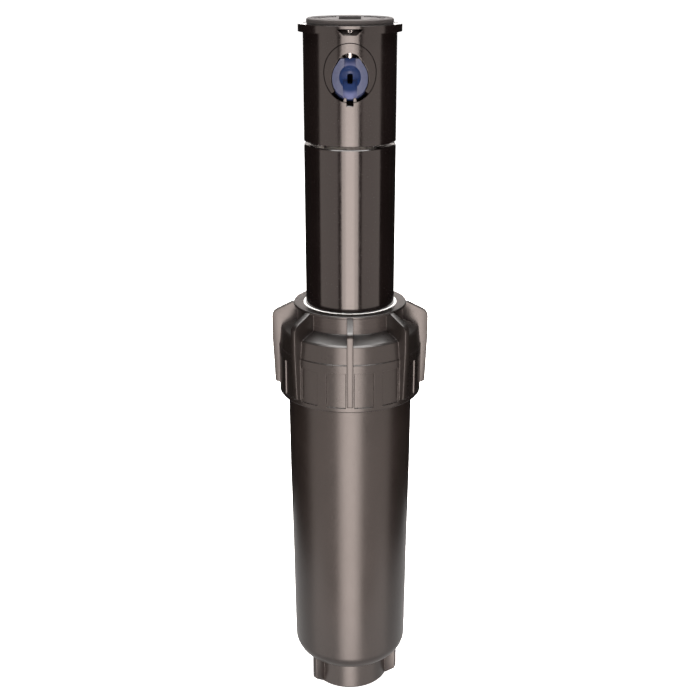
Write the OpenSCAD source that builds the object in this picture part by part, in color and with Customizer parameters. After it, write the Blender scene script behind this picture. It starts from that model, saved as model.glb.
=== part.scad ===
// Gear-driven pop-up sprinkler, drawn with its riser up.
// The origin is the centre of the inlet's bottom face. +Z runs up the axis, and the nozzle looks to -Y.
// Heights build up from the inlet: floor, riser foot, spring, seal, cap, riser and turret.

/* [Pop-up] */
// Length of riser that stands out of the cap
riser_out = 66.3; // [50:0.1:90]
// Height of the turret from its lower edge to its flange
turret_h = 41.2; // [34:0.1:52]
// Room between the riser's top and the turret's floor
groove_h = 2.3; // [2.2:0.1:4]
// Reach of the turret's lip down into that room
turret_lip_h = 1; // [0:0.1:1.3]
// Room left between the screen and the case floor when the riser is down
foot_clear = 1.3; // [0.8:0.1:4]

/* [Riser] */
// Outer radius of the riser
riser_r = 18.5; // [17.8:0.05:24]
// Wall of the riser
riser_wall = 1.85; // [1.4:0.05:2.4]
// Thickness of the riser's top plate
riser_roof = 4.5; // [3.8:0.1:7]
// Height of the riser's foot, with its guide ring
foot_h = 6.6; // [5:0.1:9]
// Reach of the guide ring beyond the riser
guide_w = 4.05; // [3.6:0.05:6]
// Reach of the lip that carries the guide ring
foot_lip_w = 1.8; // [1:0.1:3]
// Height of the inlet screen below the riser's foot
screen_h = 17.2; // [12:0.1:24]
// Radius of the screen at its top
screen_r = 13.2; // [10:0.1:14.5]

/* [Turret] */
// Wall of the turret
turret_wall = 2.2; // [1.6:0.1:2.6]
// Reach of the turret's flange
flange_w = 1.9; // [1.2:0.1:3.5]
// Height of the turret's flange
flange_h = 2.9; // [2:0.1:5]
// Radius of the rubber cover
cover_r = 16.95; // [16.7:0.05:17.4]
// Height of the cover above the flange
cover_h = 2.1; // [1.2:0.1:4]
// Radius of the nozzle
nozzle_r = 7.1; // [6:0.1:8]
// Upward tilt of the nozzle
nozzle_tilt = 25; // [10:1:28]
// Depth of the nozzle's centre below the flange
nozzle_drop = 15.9; // [14:0.1:18]
// Radius of the bowl in the nozzle's face
bowl_r = 4.05; // [3:0.05:5]
// Width of the channels above and below the bowl
channel_w = 4.3; // [3.2:0.1:5]
// Width of the two curved slots around the nozzle
slot_w = 1.5; // [0.8:0.1:2]
// Radius of the radius screw
screw_r = 1.3; // [1:0.05:1.6]
// Distance of the radius screw from the axis
screw_at = 14.5; // [13.5:0.1:14.6]

/* [Case] */
// Height of the inlet boss below the case floor
inlet_h = 13.3; // [11:0.1:18]
// Radius of the inlet's bore
inlet_bore_r = 12; // [9:0.1:13]
// Radius of the inlet boss
inlet_boss_r = 17.3; // [15.5:0.1:18]
// Thickness of the case floor
floor_t = 2.4; // [1.8:0.1:4]
// Outer radius of the case at its base
case_base_r = 25.2; // [25:0.05:28]
// Outer radius of the case below the cap
case_top_r = 26.5; // [26:0.05:32]
// Radius of the rounded corner at the case's base
case_corner_r = 8; // [3:0.5:9]
// Reach of the fins beside the inlet boss
fin_r = 22.2; // [19:0.1:23]

/* [Cap] */
// Height of the cap
cap_h = 39.4; // [34:0.1:48]
// Depth of the cap's inner roof below its top face
roof_depth = 12.6; // [11.5:0.1:15]
// Wall of the cap's skirt
skirt_wall = 2.6; // [2:0.1:4]
// Wall of the cap's neck
neck_wall = 2.6; // [2:0.1:3.5]
// Number of grip ribs
grip_count = 8; // [4:1:12]
// Reach of the grip ribs beyond the skirt
grip_w = 2.85; // [1.5:0.05:4]
// Thickness of a grip rib
grip_t = 2.5; // [1.6:0.1:4]

/* [Springs and seals] */
// Wire of the retract spring
spring_wire = 1.7; // [1.2:0.1:2]
// Turns of the retract spring
spring_turns = 9; // [6:1:11]
// Thickness of the wiper seal's rim
seal_t = 2; // [1.5:0.1:3]
// Width of the white glide ring
glide_w = 1.1; // [0.8:0.1:2]

/* [Gear train] */
// Teeth of each pinion
pinion_teeth = 9; // [9:1:10]
// Teeth of each wheel
wheel_teeth = 27; // [27:1:28]
// Module of the gear train
gear_module = 0.38; // [0.35:0.01:0.39]
// Face width of a wheel
wheel_h = 3.2; // [2.4:0.1:4]
// Rise from one stage to the next
stage_h = 5.6; // [5:0.1:6.5]
// Radius of the gearbox can
can_r = 13.8; // [13.6:0.1:14]
// Module of the arc and trip gears
arc_module = 0.5; // [0.5:0.05:0.55]

/* [Hidden] */
$fn = 96;
fit = 0.05;           // radial play of a running fit
gap = 0.3;            // room between neighbours that don't run on each other
pressure_angle = 25;
addendum = 0.8;       // tooth height above the pitch circle, in modules
dedendum = 1.05;      // tooth depth below the pitch circle, in modules
tooth_play = 0.06;    // thinning of each tooth, at the pitch circle
e = 0.01;             // overlap of solids that are joined
edge = 0.4;           // chamfer of a moulded edge
fine = 48;            // flats of a small bore or pin

// Heights of the case, cap, riser and turret
travel = riser_out + groove_h + turret_h;
floor_z = inlet_h + floor_t;
screen_z = floor_z + foot_clear + travel;
foot_z = screen_z + screen_h;
guide_z = foot_z + 1.4;
spring_z = foot_z + foot_h;
spring_h = spring_turns * (spring_wire + 0.2) + spring_wire / 6;
case_z = spring_z + spring_h;
cap_z = case_z + seal_t + roof_depth;
skirt_z = cap_z - cap_h;
riser_z = cap_z + riser_out;
roof_z = riser_z - riser_roof;
turret_z = riser_z + groove_h;
flange_z = turret_z + turret_h;
cover_z = flange_z + flange_h;

// Radii of the riser, case and cap
riser_in_r = riser_r - riser_wall;
guide_r = riser_r + guide_w;
case_in_r = guide_r + 0.5;
spring_r = riser_r + 0.3 + guide_w / 2 - 0.4;
case_rib_r = guide_r - 0.75;
neck_bore_r = riser_r + glide_w + 0.15;
neck_r = neck_bore_r + neck_wall;
face_r = neck_r + 1.4;
case_neck_r = case_top_r - 0.3;
thread_h = 1.1;
thread_r = case_neck_r + thread_h;
cap_bore_r = thread_r + gap;
skirt_r = cap_bore_r + skirt_wall;
grip_r = skirt_r + grip_w;
thread_pitch = 4.2;
thread_count = 4;

// Turret
turret_r = riser_r;
turret_in_r = turret_r - turret_wall;
flange_r = turret_r + flange_w;
hub_r = 8.6;
web_z = turret_z + 6.8;
web_t = 2.5;
socket_r = nozzle_r + 0.1;
nozzle_z = flange_z - nozzle_drop;
nozzle_l = 15;
barrel_r = socket_r + 1.9;
ceiling_z = nozzle_z - (turret_r - screw_at) * tan(nozzle_tilt) + socket_r / cos(nozzle_tilt);
screw_reach = 0.9;
screw_down = 4;
screw_head_r = 2;
screw_head_h = 2.1;
screw_head_z = cover_z - 3.8;
recess_h = 0.8;
tower_r = 3.2;
notch_depth = 1.5;
turret_lip_t = 1.2;
slot_depth = 4;
slot_angle = 36.5;
slot_turn = 37;
pry_w = 2.6;

// Arc setting gears and the stops that trip the reverser
arc_pinion_teeth = 9;
arc_ring_teeth = 42;
arc_at = arc_module * (arc_pinion_teeth + arc_ring_teeth) / 2;
arc_angle = 125;
arc_shaft_r = 1.5;
arc_gear_h = 3;
arc_z = turret_z + 0.1;
stop_r = [11.2, 13.4];
stop_w = 2.4;
stop_z = riser_z + 0.5;
fixed_stop_angle = -18;
moving_stop_angle = 198;

// Flow tube and clutch
tube_r = 7;
tube_in_r = 5.2;
clutch_r = 6.8;
clip_z = roof_z - gap - 1.2;

// Stator, reverser and bypass
stator_z = foot_z + 7;
stator_t = 3.5;
collar_r = 5.3;
plate_z = stator_z + stator_t + gap;
plate_t = 1.4;
trip_at = (can_r + riser_in_r) / 2;
trip_rod_r = 0.9;
trip_pitch_r = 4;
plate_pitch_r = trip_at - trip_pitch_r;
trip_throw = 40;
peg_at = 7.5;
plate_throw = trip_throw * trip_pitch_r / plate_pitch_r;
jet_sets = [150, 210, 270, 330, 30];
cage_z = stator_z + 11;
stem_r = 1.2;

// Turbine and gearbox
turbine_z = foot_z + 24;
turbine_h = 4.5;
turbine_r = can_r - 0.1;
box_z = foot_z + 29.5;
box_t = 3;
pinion_z = box_z + box_t + 0.7;
stage_z = pinion_z + 1;
stages = 5;
pinion_pitch_r = gear_module * pinion_teeth / 2;
wheel_pitch_r = gear_module * wheel_teeth / 2;
axle_at = pinion_pitch_r + wheel_pitch_r;
axle_angles = [-30, 30];
axle_r = 0.7;
shaft_r = 0.75;
drive_z = stage_z + stages * stage_h;
lid_z = drive_z + wheel_h + 2.6;
lid_t = 2.5;
drive_r = 2.6;
clutch_z = lid_z + lid_t + 2.5;
tube_z = clutch_z + 3.3;

// ---------- shared shapes ----------

// A plain ring between two heights
module ring(outer, inner, low, high)
    translate([0, 0, low])
        difference() {
            cylinder(r = outer, h = high - low);
            translate([0, 0, -1]) cylinder(r = inner, h = high - low + 2);
        }

// A solid made by turning an outline of [radius, height] points
module turned(points) rotate_extrude() polygon(points);

// Part of a ring, centred on an angle
module sector(outer, inner, low, high, middle, width)
    rotate([0, 0, middle - width / 2])
        rotate_extrude(angle = width)
            translate([inner, low]) square([outer - inner, high - low]);

// A block that runs outwards from the axis
module spoke(from, to, width, low, high, angle)
    rotate([0, 0, angle])
        translate([from, -width / 2, low]) cube([to - from, width, high - low]);

// Points of an arc about a centre
function arc(centre, radius, from, to, steps) =
    [for (i = [0:steps])
        let (a = from + (to - from) * i / steps)
        centre + radius * [cos(a), sin(a)]];

// A wound spring of round wire, swept as one closed skin
module coil(radius, wire, turns, low, high, steps = 18, sides = 6) {
    last = turns * steps;
    rise = (high - low - wire) / last;
    skin = [for (i = [0:last], k = [0:sides - 1])
        let (turn = 360 * i / steps, lean = 360 * k / sides, out = radius + wire / 2 * cos(lean))
        [out * cos(turn), out * sin(turn), low + wire / 2 + rise * i + wire / 2 * sin(lean)]];
    walls = [for (i = [0:last - 1], k = [0:sides - 1])
        let (next = (k + 1) % sides)
        [(i + 1) * sides + k, (i + 1) * sides + next, i * sides + next, i * sides + k]];
    start = [for (k = [0:sides - 1]) k];
    finish = [for (k = [sides - 1:-1:0]) last * sides + k];
    polyhedron(skin, concat(walls, [start], [finish]), convexity = 10);
}

// ---------- gears ----------

function involute(a) = tan(a) * 180 / PI - a;

function polar(radius, angle) = radius * [cos(angle), sin(angle)];

// Half the angle that a tooth fills at a radius
function half_tooth(teeth, module_, radius) =
    let (pitch_r = module_ * teeth / 2, base_r = pitch_r * cos(pressure_angle))
    90 / teeth - tooth_play / 2 / pitch_r * 180 / PI
    + involute(pressure_angle) - involute(acos(min(1, base_r / radius)));

// Outline of one tooth, centred on an angle
function tooth(teeth, module_, middle) =
    let (pitch_r = module_ * teeth / 2,
        root_r = pitch_r - dedendum * module_,
        foot_r = max(pitch_r * cos(pressure_angle), root_r + 0.03),
        tip_r = pitch_r + addendum * module_,
        radii = [foot_r, (foot_r + pitch_r) / 2, pitch_r, tip_r],
        halves = [for (r = radii) half_tooth(teeth, module_, r)])
    concat([polar(root_r, middle - halves[0])],
        [for (i = [0:3]) polar(radii[i], middle - halves[i])],
        [for (i = [3:-1:0]) polar(radii[i], middle + halves[i])],
        [polar(root_r, middle + halves[0])]);

// A spur gear with a tooth at the given angle
module gear(teeth, module_, low, high, bore, first = 0)
    translate([0, 0, low])
        linear_extrude(high - low)
            difference() {
                polygon([for (i = [0:teeth - 1]) each tooth(teeth, module_, first + 360 * i / teeth)]);
                circle(bore);
            }

// Place of a gear stage's axle: the stages swap between two axles, and both stand one mesh from the axis
function axle_angle(stage) = axle_angles[(stage - 1) % 2];
module on_axle(angle) rotate([0, 0, angle]) translate([axle_at, 0, 0]) rotate([0, 0, -angle]) children();

// Direction from a stage's axle towards the gear that it drives
function drive_direction(stage) =
    stage == stages ? axle_angle(stage) + 180
    : stage % 2 == 1 ? 90 : -90;

// Direction from a stage's axle towards the pinion that drives it
function driver_direction(stage) =
    stage == 1 ? axle_angle(1) + 180
    : stage % 2 == 1 ? 90 : -90;

// ---------- case ----------

case_skin = [[0.36, 0.32], [0.73, 0.87], [1, 1]];   // share of the height, share of the widening
case_low_z = inlet_h + case_corner_r;
case_high_z = skirt_z - 2;

module case_shell() color([0.17, 0.155, 0.15]) {
    difference() {
        union() {
            turned(concat(
                [[inlet_bore_r + 1.2, 0], [inlet_boss_r - 0.7, 0], [inlet_boss_r, 0.7]],
                [[inlet_boss_r, inlet_h - 0.8], [inlet_boss_r + 0.8, inlet_h]],
                arc([case_base_r - case_corner_r, case_low_z], case_corner_r, -90, 0, 8),
                [for (s = case_skin)
                    [case_base_r + (case_top_r - case_base_r) * s[1],
                        case_low_z + (case_high_z - case_low_z) * s[0]]],
                [[case_top_r, skirt_z + 1.5], [case_neck_r, skirt_z + 2.5], [case_neck_r, case_z]],
                [[case_in_r + 0.6, case_z], [case_in_r, case_high_z]],
                arc([case_in_r - 5, floor_z + 5], 5, 0, -90, 5),
                [[inlet_bore_r, floor_z], [inlet_bore_r, 1.2]]));
            for (i = [0:thread_count - 1])
                thread_ridge(case_neck_r - 0.2, thread_r, case_z - 3 - i * thread_pitch);
            for (a = [-137, -17, 103])
                spoke(inlet_boss_r - 1, fin_r, 2.6, 3, inlet_h + 2, a);
            case_ribs(case_rib_r, 2);
        }
        translate([0, 0, -1]) cylinder(r = inlet_bore_r, h = floor_z + 2);
    }
}

// The four upright ribs inside the case that stop the guide ring from turning
module case_ribs(reach, width)
    for (a = [45:90:315])
        spoke(reach, case_in_r + 1.5, width, floor_z + 4, case_z - 1.5, a);

// One ridge of a thread, from its root to its crest
module thread_ridge(root, crest, middle)
    turned([[root, middle - 0.9], [crest, middle - 0.45], [crest, middle + 0.45], [root, middle + 0.9]]);

// ---------- cap ----------

band_z = [skirt_z + 2.2, skirt_z + 17.2];

module cap() color([0.2, 0.185, 0.18])
    difference() {
        union() {
            difference() {
                turned([
                    [neck_bore_r, cap_z], [face_r - 0.4, cap_z], [face_r, cap_z - 0.4],
                    [face_r, cap_z - 0.9], [neck_r, cap_z - 1.4], [neck_r, cap_z - 8],
                    [skirt_r - 1.5, cap_z - 10.7], [skirt_r - 1, cap_z - 11.3],
                    [skirt_r - 0.35, cap_z - 18.4], [skirt_r, cap_z - 18.8],
                    [skirt_r, skirt_z + 0.6], [skirt_r - 0.6, skirt_z],
                    [cap_bore_r + 0.5, skirt_z], [cap_bore_r, skirt_z + 1],
                    [cap_bore_r, cap_z - roof_depth], [neck_bore_r, cap_z - roof_depth]]);
                cap_panels();
            }
            for (i = [0:grip_count - 1]) rotate([0, 0, 360 * i / grip_count - 90]) grip_rib();
            for (i = [0:thread_count - 2])
                thread_ridge(cap_bore_r + 0.2, cap_bore_r - thread_h, case_z - 3 - (i + 0.5) * thread_pitch);
        }
        translate([0, 0, cap_z - roof_depth - 1]) cylinder(r = neck_bore_r, h = roof_depth + 2);
    }

// Shallow panels of the grip band, two between each pair of grip ribs
module cap_panels() {
    step = 360 / grip_count;
    width = step / 2 - 7.2;
    for (i = [0:grip_count - 1], side = [-1, 1])
        sector(skirt_r + 1, skirt_r - 0.5, band_z[0], band_z[1],
            i * step - 90 + side * (3.4 + width / 2), width);
}

// A grip rib: sloped from the cap's face, rounded over and tapered towards the skirt
module grip_rib() {
    round_r = 3.6;
    round_z = cap_z - 7;
    foot = skirt_z + 3.3;
    rotate([90, 0, 0])
        linear_extrude(grip_t, center = true)
            polygon(concat(
                [[neck_r - 1, cap_z - 9], [neck_r - 1, cap_z - 0.4], [face_r + 0.8, cap_z - 0.4]],
                arc([grip_r - round_r, round_z], round_r, 60, 0, 5),
                [[grip_r, cap_z - 16.3], [grip_r - 0.85, foot]],
                [[skirt_r - 0.5, foot - 1], [skirt_r - 0.5, cap_z - 12], [skirt_r - 2.5, cap_z - 12]]));
}

// Rubber wiper: a rim clamped between case and cap, and a lip that wipes the riser
module wiper_seal() color([0.1, 0.1, 0.1])
    turned([
        [riser_r + 0.5, case_z], [case_neck_r - 0.3, case_z], [case_neck_r - 0.3, case_z + seal_t - 0.1],
        [neck_bore_r - 0.2, case_z + seal_t - 0.1], [neck_bore_r - 0.2, cap_z - 7.4],
        [riser_r + 0.6, cap_z - 7.2], [riser_r + fit, cap_z - 8.2], [riser_r + fit, cap_z - 9]]);

// White glide ring, just below the cap's face
module glide_ring() color("white")
    turned([
        [riser_r + fit, cap_z - 6.9], [neck_bore_r - 0.1, cap_z - 6.9], [neck_bore_r - 0.1, cap_z - 0.2],
        [neck_bore_r - 0.2, cap_z - 0.1], [riser_r + 0.2, cap_z - 0.1], [riser_r + fit, cap_z - 0.3]]);

module retract_spring() color([0.75, 0.76, 0.78])
    coil(spring_r, spring_wire, spring_turns, spring_z, case_z);

// ---------- riser ----------

module riser_tube() color([0.16, 0.145, 0.14])
    difference() {
        turned([
            [riser_in_r, foot_z], [riser_r + foot_lip_w, foot_z], [riser_r + foot_lip_w, guide_z - fit],
            [riser_r, guide_z - fit], [riser_r, riser_z - 0.4], [riser_r - 0.4, riser_z],
            [tube_r + 0.1, riser_z], [tube_r + 0.1, riser_z - 1],
            [tube_r + 1.75, riser_z - 1], [tube_r + 1.75, riser_z - 2.8],
            [tube_r + 0.1, riser_z - 2.8], [tube_r + 0.1, roof_z],
            [riser_in_r - 1, roof_z], [riser_in_r, roof_z - 1],
            [riser_in_r, stator_z], [riser_in_r - 1, stator_z], [riser_in_r - 1, stator_z - 1],
            [riser_in_r, stator_z - 1.5]]);
        rotate([0, 0, 90])
            translate([trip_at, 0, roof_z - 1])
                cylinder(r = trip_rod_r + fit, h = riser_roof + 2, $fn = fine);
    }

// Loose ring around the riser's foot: its notches run on the case's ribs and the spring pushes on its top
module guide_ring() color([0.85, 0.85, 0.82])
    difference() {
        ring(guide_r, riser_r + fit, guide_z, spring_z - 0.02);
        for (a = [45:90:315])
            spoke(case_rib_r - gap, guide_r + 1, 2 + 2 * gap, guide_z - 1, spring_z + 1, a);
    }

module inlet_screen() color([0.9, 0.9, 0.88])
    difference() {
        turned([
            [0, screen_z], [screen_r - 2.2, screen_z], [screen_r, foot_z - 1],
            [screen_r, foot_z + 0.6], [riser_in_r - fit, foot_z + 0.6], [riser_in_r - fit, foot_z + 2.6],
            [screen_r - 1.3, foot_z + 2.6], [screen_r - 1.3, foot_z - 1],
            [screen_r - 3.5, screen_z + 1.4], [0, screen_z + 1.4]]);
        for (i = [0:15])
            spoke(screen_r - 4.6, screen_r + 1, 1.3, screen_z + 2.6, foot_z - 2, i * 22.5);
        for (x = [-6:3:6])
            translate([x - 0.65, -7, screen_z - 1]) cube([1.3, 14, 4]);
    }

// Plate of angled jets that spin the turbine, with a seat for the bypass and a bearing for the trip rod
module stator() color([0.92, 0.92, 0.9])
    difference() {
        union() {
            ring(riser_in_r - fit, 2.8, stator_z, stator_z + stator_t);
            ring(collar_r, collar_r - 0.9, stator_z + stator_t - e, stator_z + 6.2);
            spoke(14.6, 15.6, 2.4, stator_z + stator_t - e, plate_z + 2.6, 270);
        }
        for (a = jet_sets, side = [-1, 1])
            rotate([0, 0, a + side * plate_throw / 2])
                translate([11.4, 0, stator_z + stator_t / 2])
                    rotate([side * 35, 0, 0]) cube([3.2, 1.5, 3 * stator_t], center = true);
        rotate([0, 0, 90])
            translate([trip_at, 0, stator_z + 1]) cylinder(r = trip_rod_r + fit, h = stator_t, $fn = fine);
    }

// Cage that guides the bypass poppet's stem
module bypass_cage() color([0.92, 0.92, 0.9])
    difference() {
        union() {
            ring(collar_r, collar_r - 0.9, stator_z + 6.2, stator_z + 7.2);
            ring(collar_r, stem_r + fit, cage_z, cage_z + 1);
            for (a = [30:120:270])
                spoke(collar_r - 0.85, collar_r - 0.1, 1.6, stator_z + 7, cage_z + 0.5, a);
        }
        translate([0, 0, cage_z - 1]) cylinder(r = stem_r + fit, h = 3, $fn = fine);
    }

module bypass_spring() color([0.75, 0.76, 0.78])
    coil(2.4, 0.5, 5, stator_z + stator_t + 1.5, cage_z, 14);

module bypass_poppet() color([0.8, 0.35, 0.25])
    turned([
        [0, stator_z + stator_t + 0.05], [3.8, stator_z + stator_t + 0.05], [3.8, stator_z + stator_t + 1.2],
        [3.2, stator_z + stator_t + 1.5], [stem_r, stator_z + stator_t + 1.5], [stem_r, cage_z + 1.3],
        [0, cage_z + 1.3]]);

module gearbox_base() color([0.88, 0.88, 0.86])
    difference() {
        union() {
            ring(can_r, shaft_r + fit, box_z, box_z + box_t);
            ring(3.2, shaft_r + fit, box_z - 0.6, box_z + e);
            for (a = [30, 150, 270])
                spoke(can_r - 1, riser_in_r - 0.1, 2.4, box_z, box_z + box_t, a);
        }
        translate([0, 0, box_z - 1]) cylinder(r = shaft_r + fit, h = box_t + 2, $fn = fine);
        for (a = axle_angles)
            on_axle(a) translate([0, 0, box_z + 1]) cylinder(r = axle_r + 0.02, h = box_t, $fn = fine);
    }

module gearbox_can() color([0.88, 0.88, 0.86])
    ring(can_r, can_r - 1.15, box_z + box_t, lid_z + lid_t);

module gearbox_lid() color([0.88, 0.88, 0.86])
    difference() {
        ring(can_r - 1.2, drive_r + fit, lid_z, lid_z + lid_t);
        for (a = axle_angles)
            on_axle(a) translate([0, 0, lid_z - 1]) cylinder(r = axle_r + 0.02, h = 2.4, $fn = fine);
    }

module gear_axles() color([0.78, 0.79, 0.8])
    for (a = axle_angles)
        on_axle(a)
            translate([0, 0, box_z + 1.1]) cylinder(r = axle_r, h = lid_z + 1.2 - box_z - 1.1, $fn = fine);

// Bearing between the riser's top plate and the turret; its rim also carries the arc ring
module thrust_washer() color([0.93, 0.93, 0.9])
    ring(hub_r + 1, tube_r + 0.1, riser_z, turret_z - 0.3);

module shaft_seal() color([0.08, 0.08, 0.08])
    rotate_extrude() translate([tube_r + fit + 0.8, riser_z - 1.9]) circle(0.8, $fn = fine);

// ---------- reverser ----------

// Rod up the water passage, with a toothed sector at its foot; it is drawn at one end of its throw
module trip_rod() color([0.78, 0.79, 0.8])
    at_trip() {
        translate([0, 0, stator_z + 1.1])
            cylinder(r = trip_rod_r, h = turret_z - 0.4 - stator_z - 1.1, $fn = fine);
        intersection() {
            gear(2 * trip_pitch_r / arc_module, arc_module, plate_z, plate_z + plate_t,
                trip_rod_r - 0.1, 180);
            rotate([0, 0, 180]) translate([0, -10, plate_z - 1]) linear_extrude(plate_t + 2)
                polygon([[-1, 10], [6, 15], [6, 5]]);
        }
    }

// Frame of the trip rod: x points outwards, turned back by half the throw
module at_trip()
    rotate([0, 0, 90]) translate([trip_at, 0, 0]) rotate([0, 0, -trip_throw / 2]) children();

module trip_lever() color([0.85, 0.85, 0.82])
    at_trip() difference() {
        translate([0, 0, riser_z + gap]) union() {
            cylinder(r = 1.9, h = 1.6, $fn = fine);
            translate([-3.9, -0.7, 0]) cube([3.4, 1.4, 1.6]);
        }
        translate([0, 0, riser_z]) cylinder(r = trip_rod_r + 0.01, h = 3, $fn = fine);
    }

// Plate that covers one set of jets or the other; its teeth mesh with the trip rod's sector
module reversing_plate() color([0.85, 0.85, 0.82]) {
    teeth = 2 * plate_pitch_r / arc_module;
    rotate([0, 0, plate_throw / 2]) {
        ring(9.8, collar_r + 0.1, plate_z, plate_z + plate_t);
        for (a = jet_sets)
            sector(13.4, 9.7, plate_z, plate_z + plate_t, a, 12);
        difference() {
            translate([0, 0, plate_z])
                linear_extrude(plate_t)
                    polygon(concat([polar(9.6, 90 + 19)], [polar(9.6, 90 - 19)],
                        [for (k = [-2:1]) each tooth(teeth, arc_module, 90 + (k + 0.5) * 360 / teeth)]));
            translate([0, 0, plate_z - 1]) cylinder(r = 9, h = 4);
        }
        toggle_peg();
    }
}

// Peg that carries the toggle spring
module toggle_peg()
    rotate([0, 0, 270]) translate([peg_at, 0, plate_z + plate_t - e]) cylinder(r = 0.7, h = 1.3, $fn = fine);

// Hairpin that snaps the plate to either end of its throw
module toggle_spring() color([0.75, 0.76, 0.78])
    rotate([0, 0, 270 + plate_throw / 2]) translate([0, 0, plate_z + plate_t + 0.15])
        linear_extrude(0.7) {
            difference() {
                translate([peg_at, 0]) circle(1.3, $fn = fine);
                translate([peg_at, 0]) circle(0.75, $fn = fine);
            }
            translate([peg_at + 1.2, -0.25]) square([14 - peg_at - 1.2, 0.5]);
        }

// ---------- turbine and gear train ----------

module turbine_wheel() color([0.92, 0.92, 0.9]) {
    middle = turbine_z + turbine_h / 2;
    difference() {
        union() {
            ring(3, shaft_r + 0.02, turbine_z, turbine_z + turbine_h);
            ring(8, 2.9, middle - 0.6, middle + 0.6);
            ring(8, 7.2, turbine_z, turbine_z + turbine_h);
            ring(turbine_r, turbine_r - 0.7, turbine_z, turbine_z + turbine_h);
            for (i = [0:11])
                rotate([0, 0, i * 30])
                    translate([(turbine_r + 7.2) / 2, 0, middle])
                        rotate([35, 0, 0]) cube([turbine_r - 7.7, 0.8, turbine_h], center = true);
        }
        translate([0, 0, turbine_z - 1]) cylinder(r = shaft_r + 0.02, h = turbine_h + 2, $fn = fine);
    }
}

module turbine_shaft() color([0.78, 0.79, 0.8])
    translate([0, 0, turbine_z - 0.6])
        cylinder(r = shaft_r, h = pinion_z + 4.4 - turbine_z + 0.6, $fn = fine);

module turbine_pinion() color([0.93, 0.9, 0.8])
    gear(pinion_teeth, gear_module, pinion_z, pinion_z + 4.3, shaft_r + 0.02, axle_angle(1));

// A wheel with a gap towards its driver, under a pinion with a tooth towards the next wheel
module gear_cluster(stage) color([0.93, 0.9, 0.8]) {
    low = stage_z + (stage - 1) * stage_h;
    top = low + 2 * stage_h - 0.4;
    on_axle(axle_angle(stage)) {
        gear(wheel_teeth, gear_module, low, low + wheel_h, axle_r + fit,
            driver_direction(stage) + 180 / wheel_teeth);
        gear(pinion_teeth, gear_module, low + wheel_h - e, top, axle_r + fit, drive_direction(stage));
    }
}

module drive_gear() color([0.93, 0.9, 0.8]) {
    gear(wheel_teeth, gear_module, drive_z, drive_z + wheel_h, 1, axle_angle(stages) + 180 / wheel_teeth);
    translate([0, 0, drive_z]) cylinder(r = drive_r, h = clutch_z + 2 - drive_z);
}

module clutch_plate() color([0.88, 0.88, 0.86])
    ring(tube_r, drive_r + 0.02, clutch_z, clutch_z + 2);

// ---------- turret ----------

// Frame of the nozzle: x runs outwards along the stream, from the point where it leaves the turret
module at_nozzle()
    rotate([0, 0, -90]) translate([turret_r, 0, nozzle_z]) rotate([0, -nozzle_tilt, 0]) children();

module stream_bore(radius, from, to)
    at_nozzle() translate([from, 0, 0]) rotate([0, 90, 0]) cylinder(r = radius, h = to - from);

module turret_shell() color([0.16, 0.145, 0.14])
    difference() {
        union() {
            ring(turret_r, turret_in_r, turret_z, flange_z + e);
            ring(turret_r, turret_r - turret_lip_t, turret_z - turret_lip_h, turret_z + edge);
            difference() {
                translate([0, 0, flange_z]) cylinder(r = flange_r, h = flange_h);
                translate([0, 0, cover_z - recess_h]) cylinder(r = cover_r + 0.1, h = 2);
            }
            translate([0, 0, web_z]) cylinder(r = turret_in_r + 0.2, h = web_t);
            translate([0, 0, arc_z]) cylinder(r = hub_r, h = web_z + web_t + 1.5 - arc_z);
            intersection() {
                stream_bore(barrel_r, -24, 6);
                translate([0, 0, web_z]) cylinder(r = turret_r - 0.1, h = turret_h);
            }
            screw_tower();
            arc_tower();
            for (a = [0, 180, 90])
                spoke(turret_in_r - 3, turret_in_r + 0.5, 1.6, web_z + web_t - e, flange_z + e, a);
            spoke(stop_r[0], turret_in_r + 0.5, stop_w, arc_z + gap, arc_z + 1.5, fixed_stop_angle);
            spoke(stop_r[0], stop_r[1], stop_w, stop_z, arc_z + gap + e, fixed_stop_angle);
        }
        stream_bore(socket_r, -nozzle_l - 0.1, 9);
        stream_bore(tube_in_r, -26, -nozzle_l);
        translate([0, 0, arc_z - 1]) cylinder(r = tube_r + 0.02, h = web_z + web_t + 1 - arc_z);
        translate([0, 0, arc_z]) cylinder(r = tube_in_r, h = nozzle_z - 7 - arc_z);
        socket_slots();
        screw_bore();
        arc_bore();
        flange_notch();
    }

module screw_tower()
    rotate([0, 0, -90])
        translate([screw_at, 0, nozzle_z]) cylinder(r = tower_r, h = cover_z - recess_h - nozzle_z - 0.5);

module screw_bore()
    rotate([0, 0, -90]) translate([screw_at, 0, 0]) {
        translate([0, 0, nozzle_z]) cylinder(r = screw_r + fit, h = cover_z - nozzle_z, $fn = fine);
        translate([0, 0, screw_head_z - screw_down - 0.2])
            cylinder(r = screw_head_r + 0.1, h = screw_down + 6, $fn = fine);
    }

module arc_tower()
    rotate([0, 0, arc_angle]) translate([arc_at, 0, web_z]) cylinder(r = tower_r, h = flange_z + 1 - web_z);

module arc_bore()
    rotate([0, 0, arc_angle]) translate([arc_at, 0, 0]) {
        translate([0, 0, web_z - 1]) cylinder(r = arc_shaft_r + fit, h = cover_z - web_z + 2, $fn = fine);
        translate([0, 0, cover_z - 3.6]) cylinder(r = 2.4, h = 5, $fn = fine);
    }

// Two curved slots and a square one around the lower half of the nozzle, for prising it out
module socket_slots()
    at_nozzle() {
        for (side = [-1, 1])
            rotate([0, 90, 0])
                sector(socket_r + slot_w, socket_r - edge, -slot_depth, slot_depth,
                    side * slot_angle, slot_turn);
        translate([-slot_depth, -pry_w / 2, -socket_r - slot_w - edge]) cube([2 * slot_depth, pry_w, slot_w]);
    }

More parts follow.
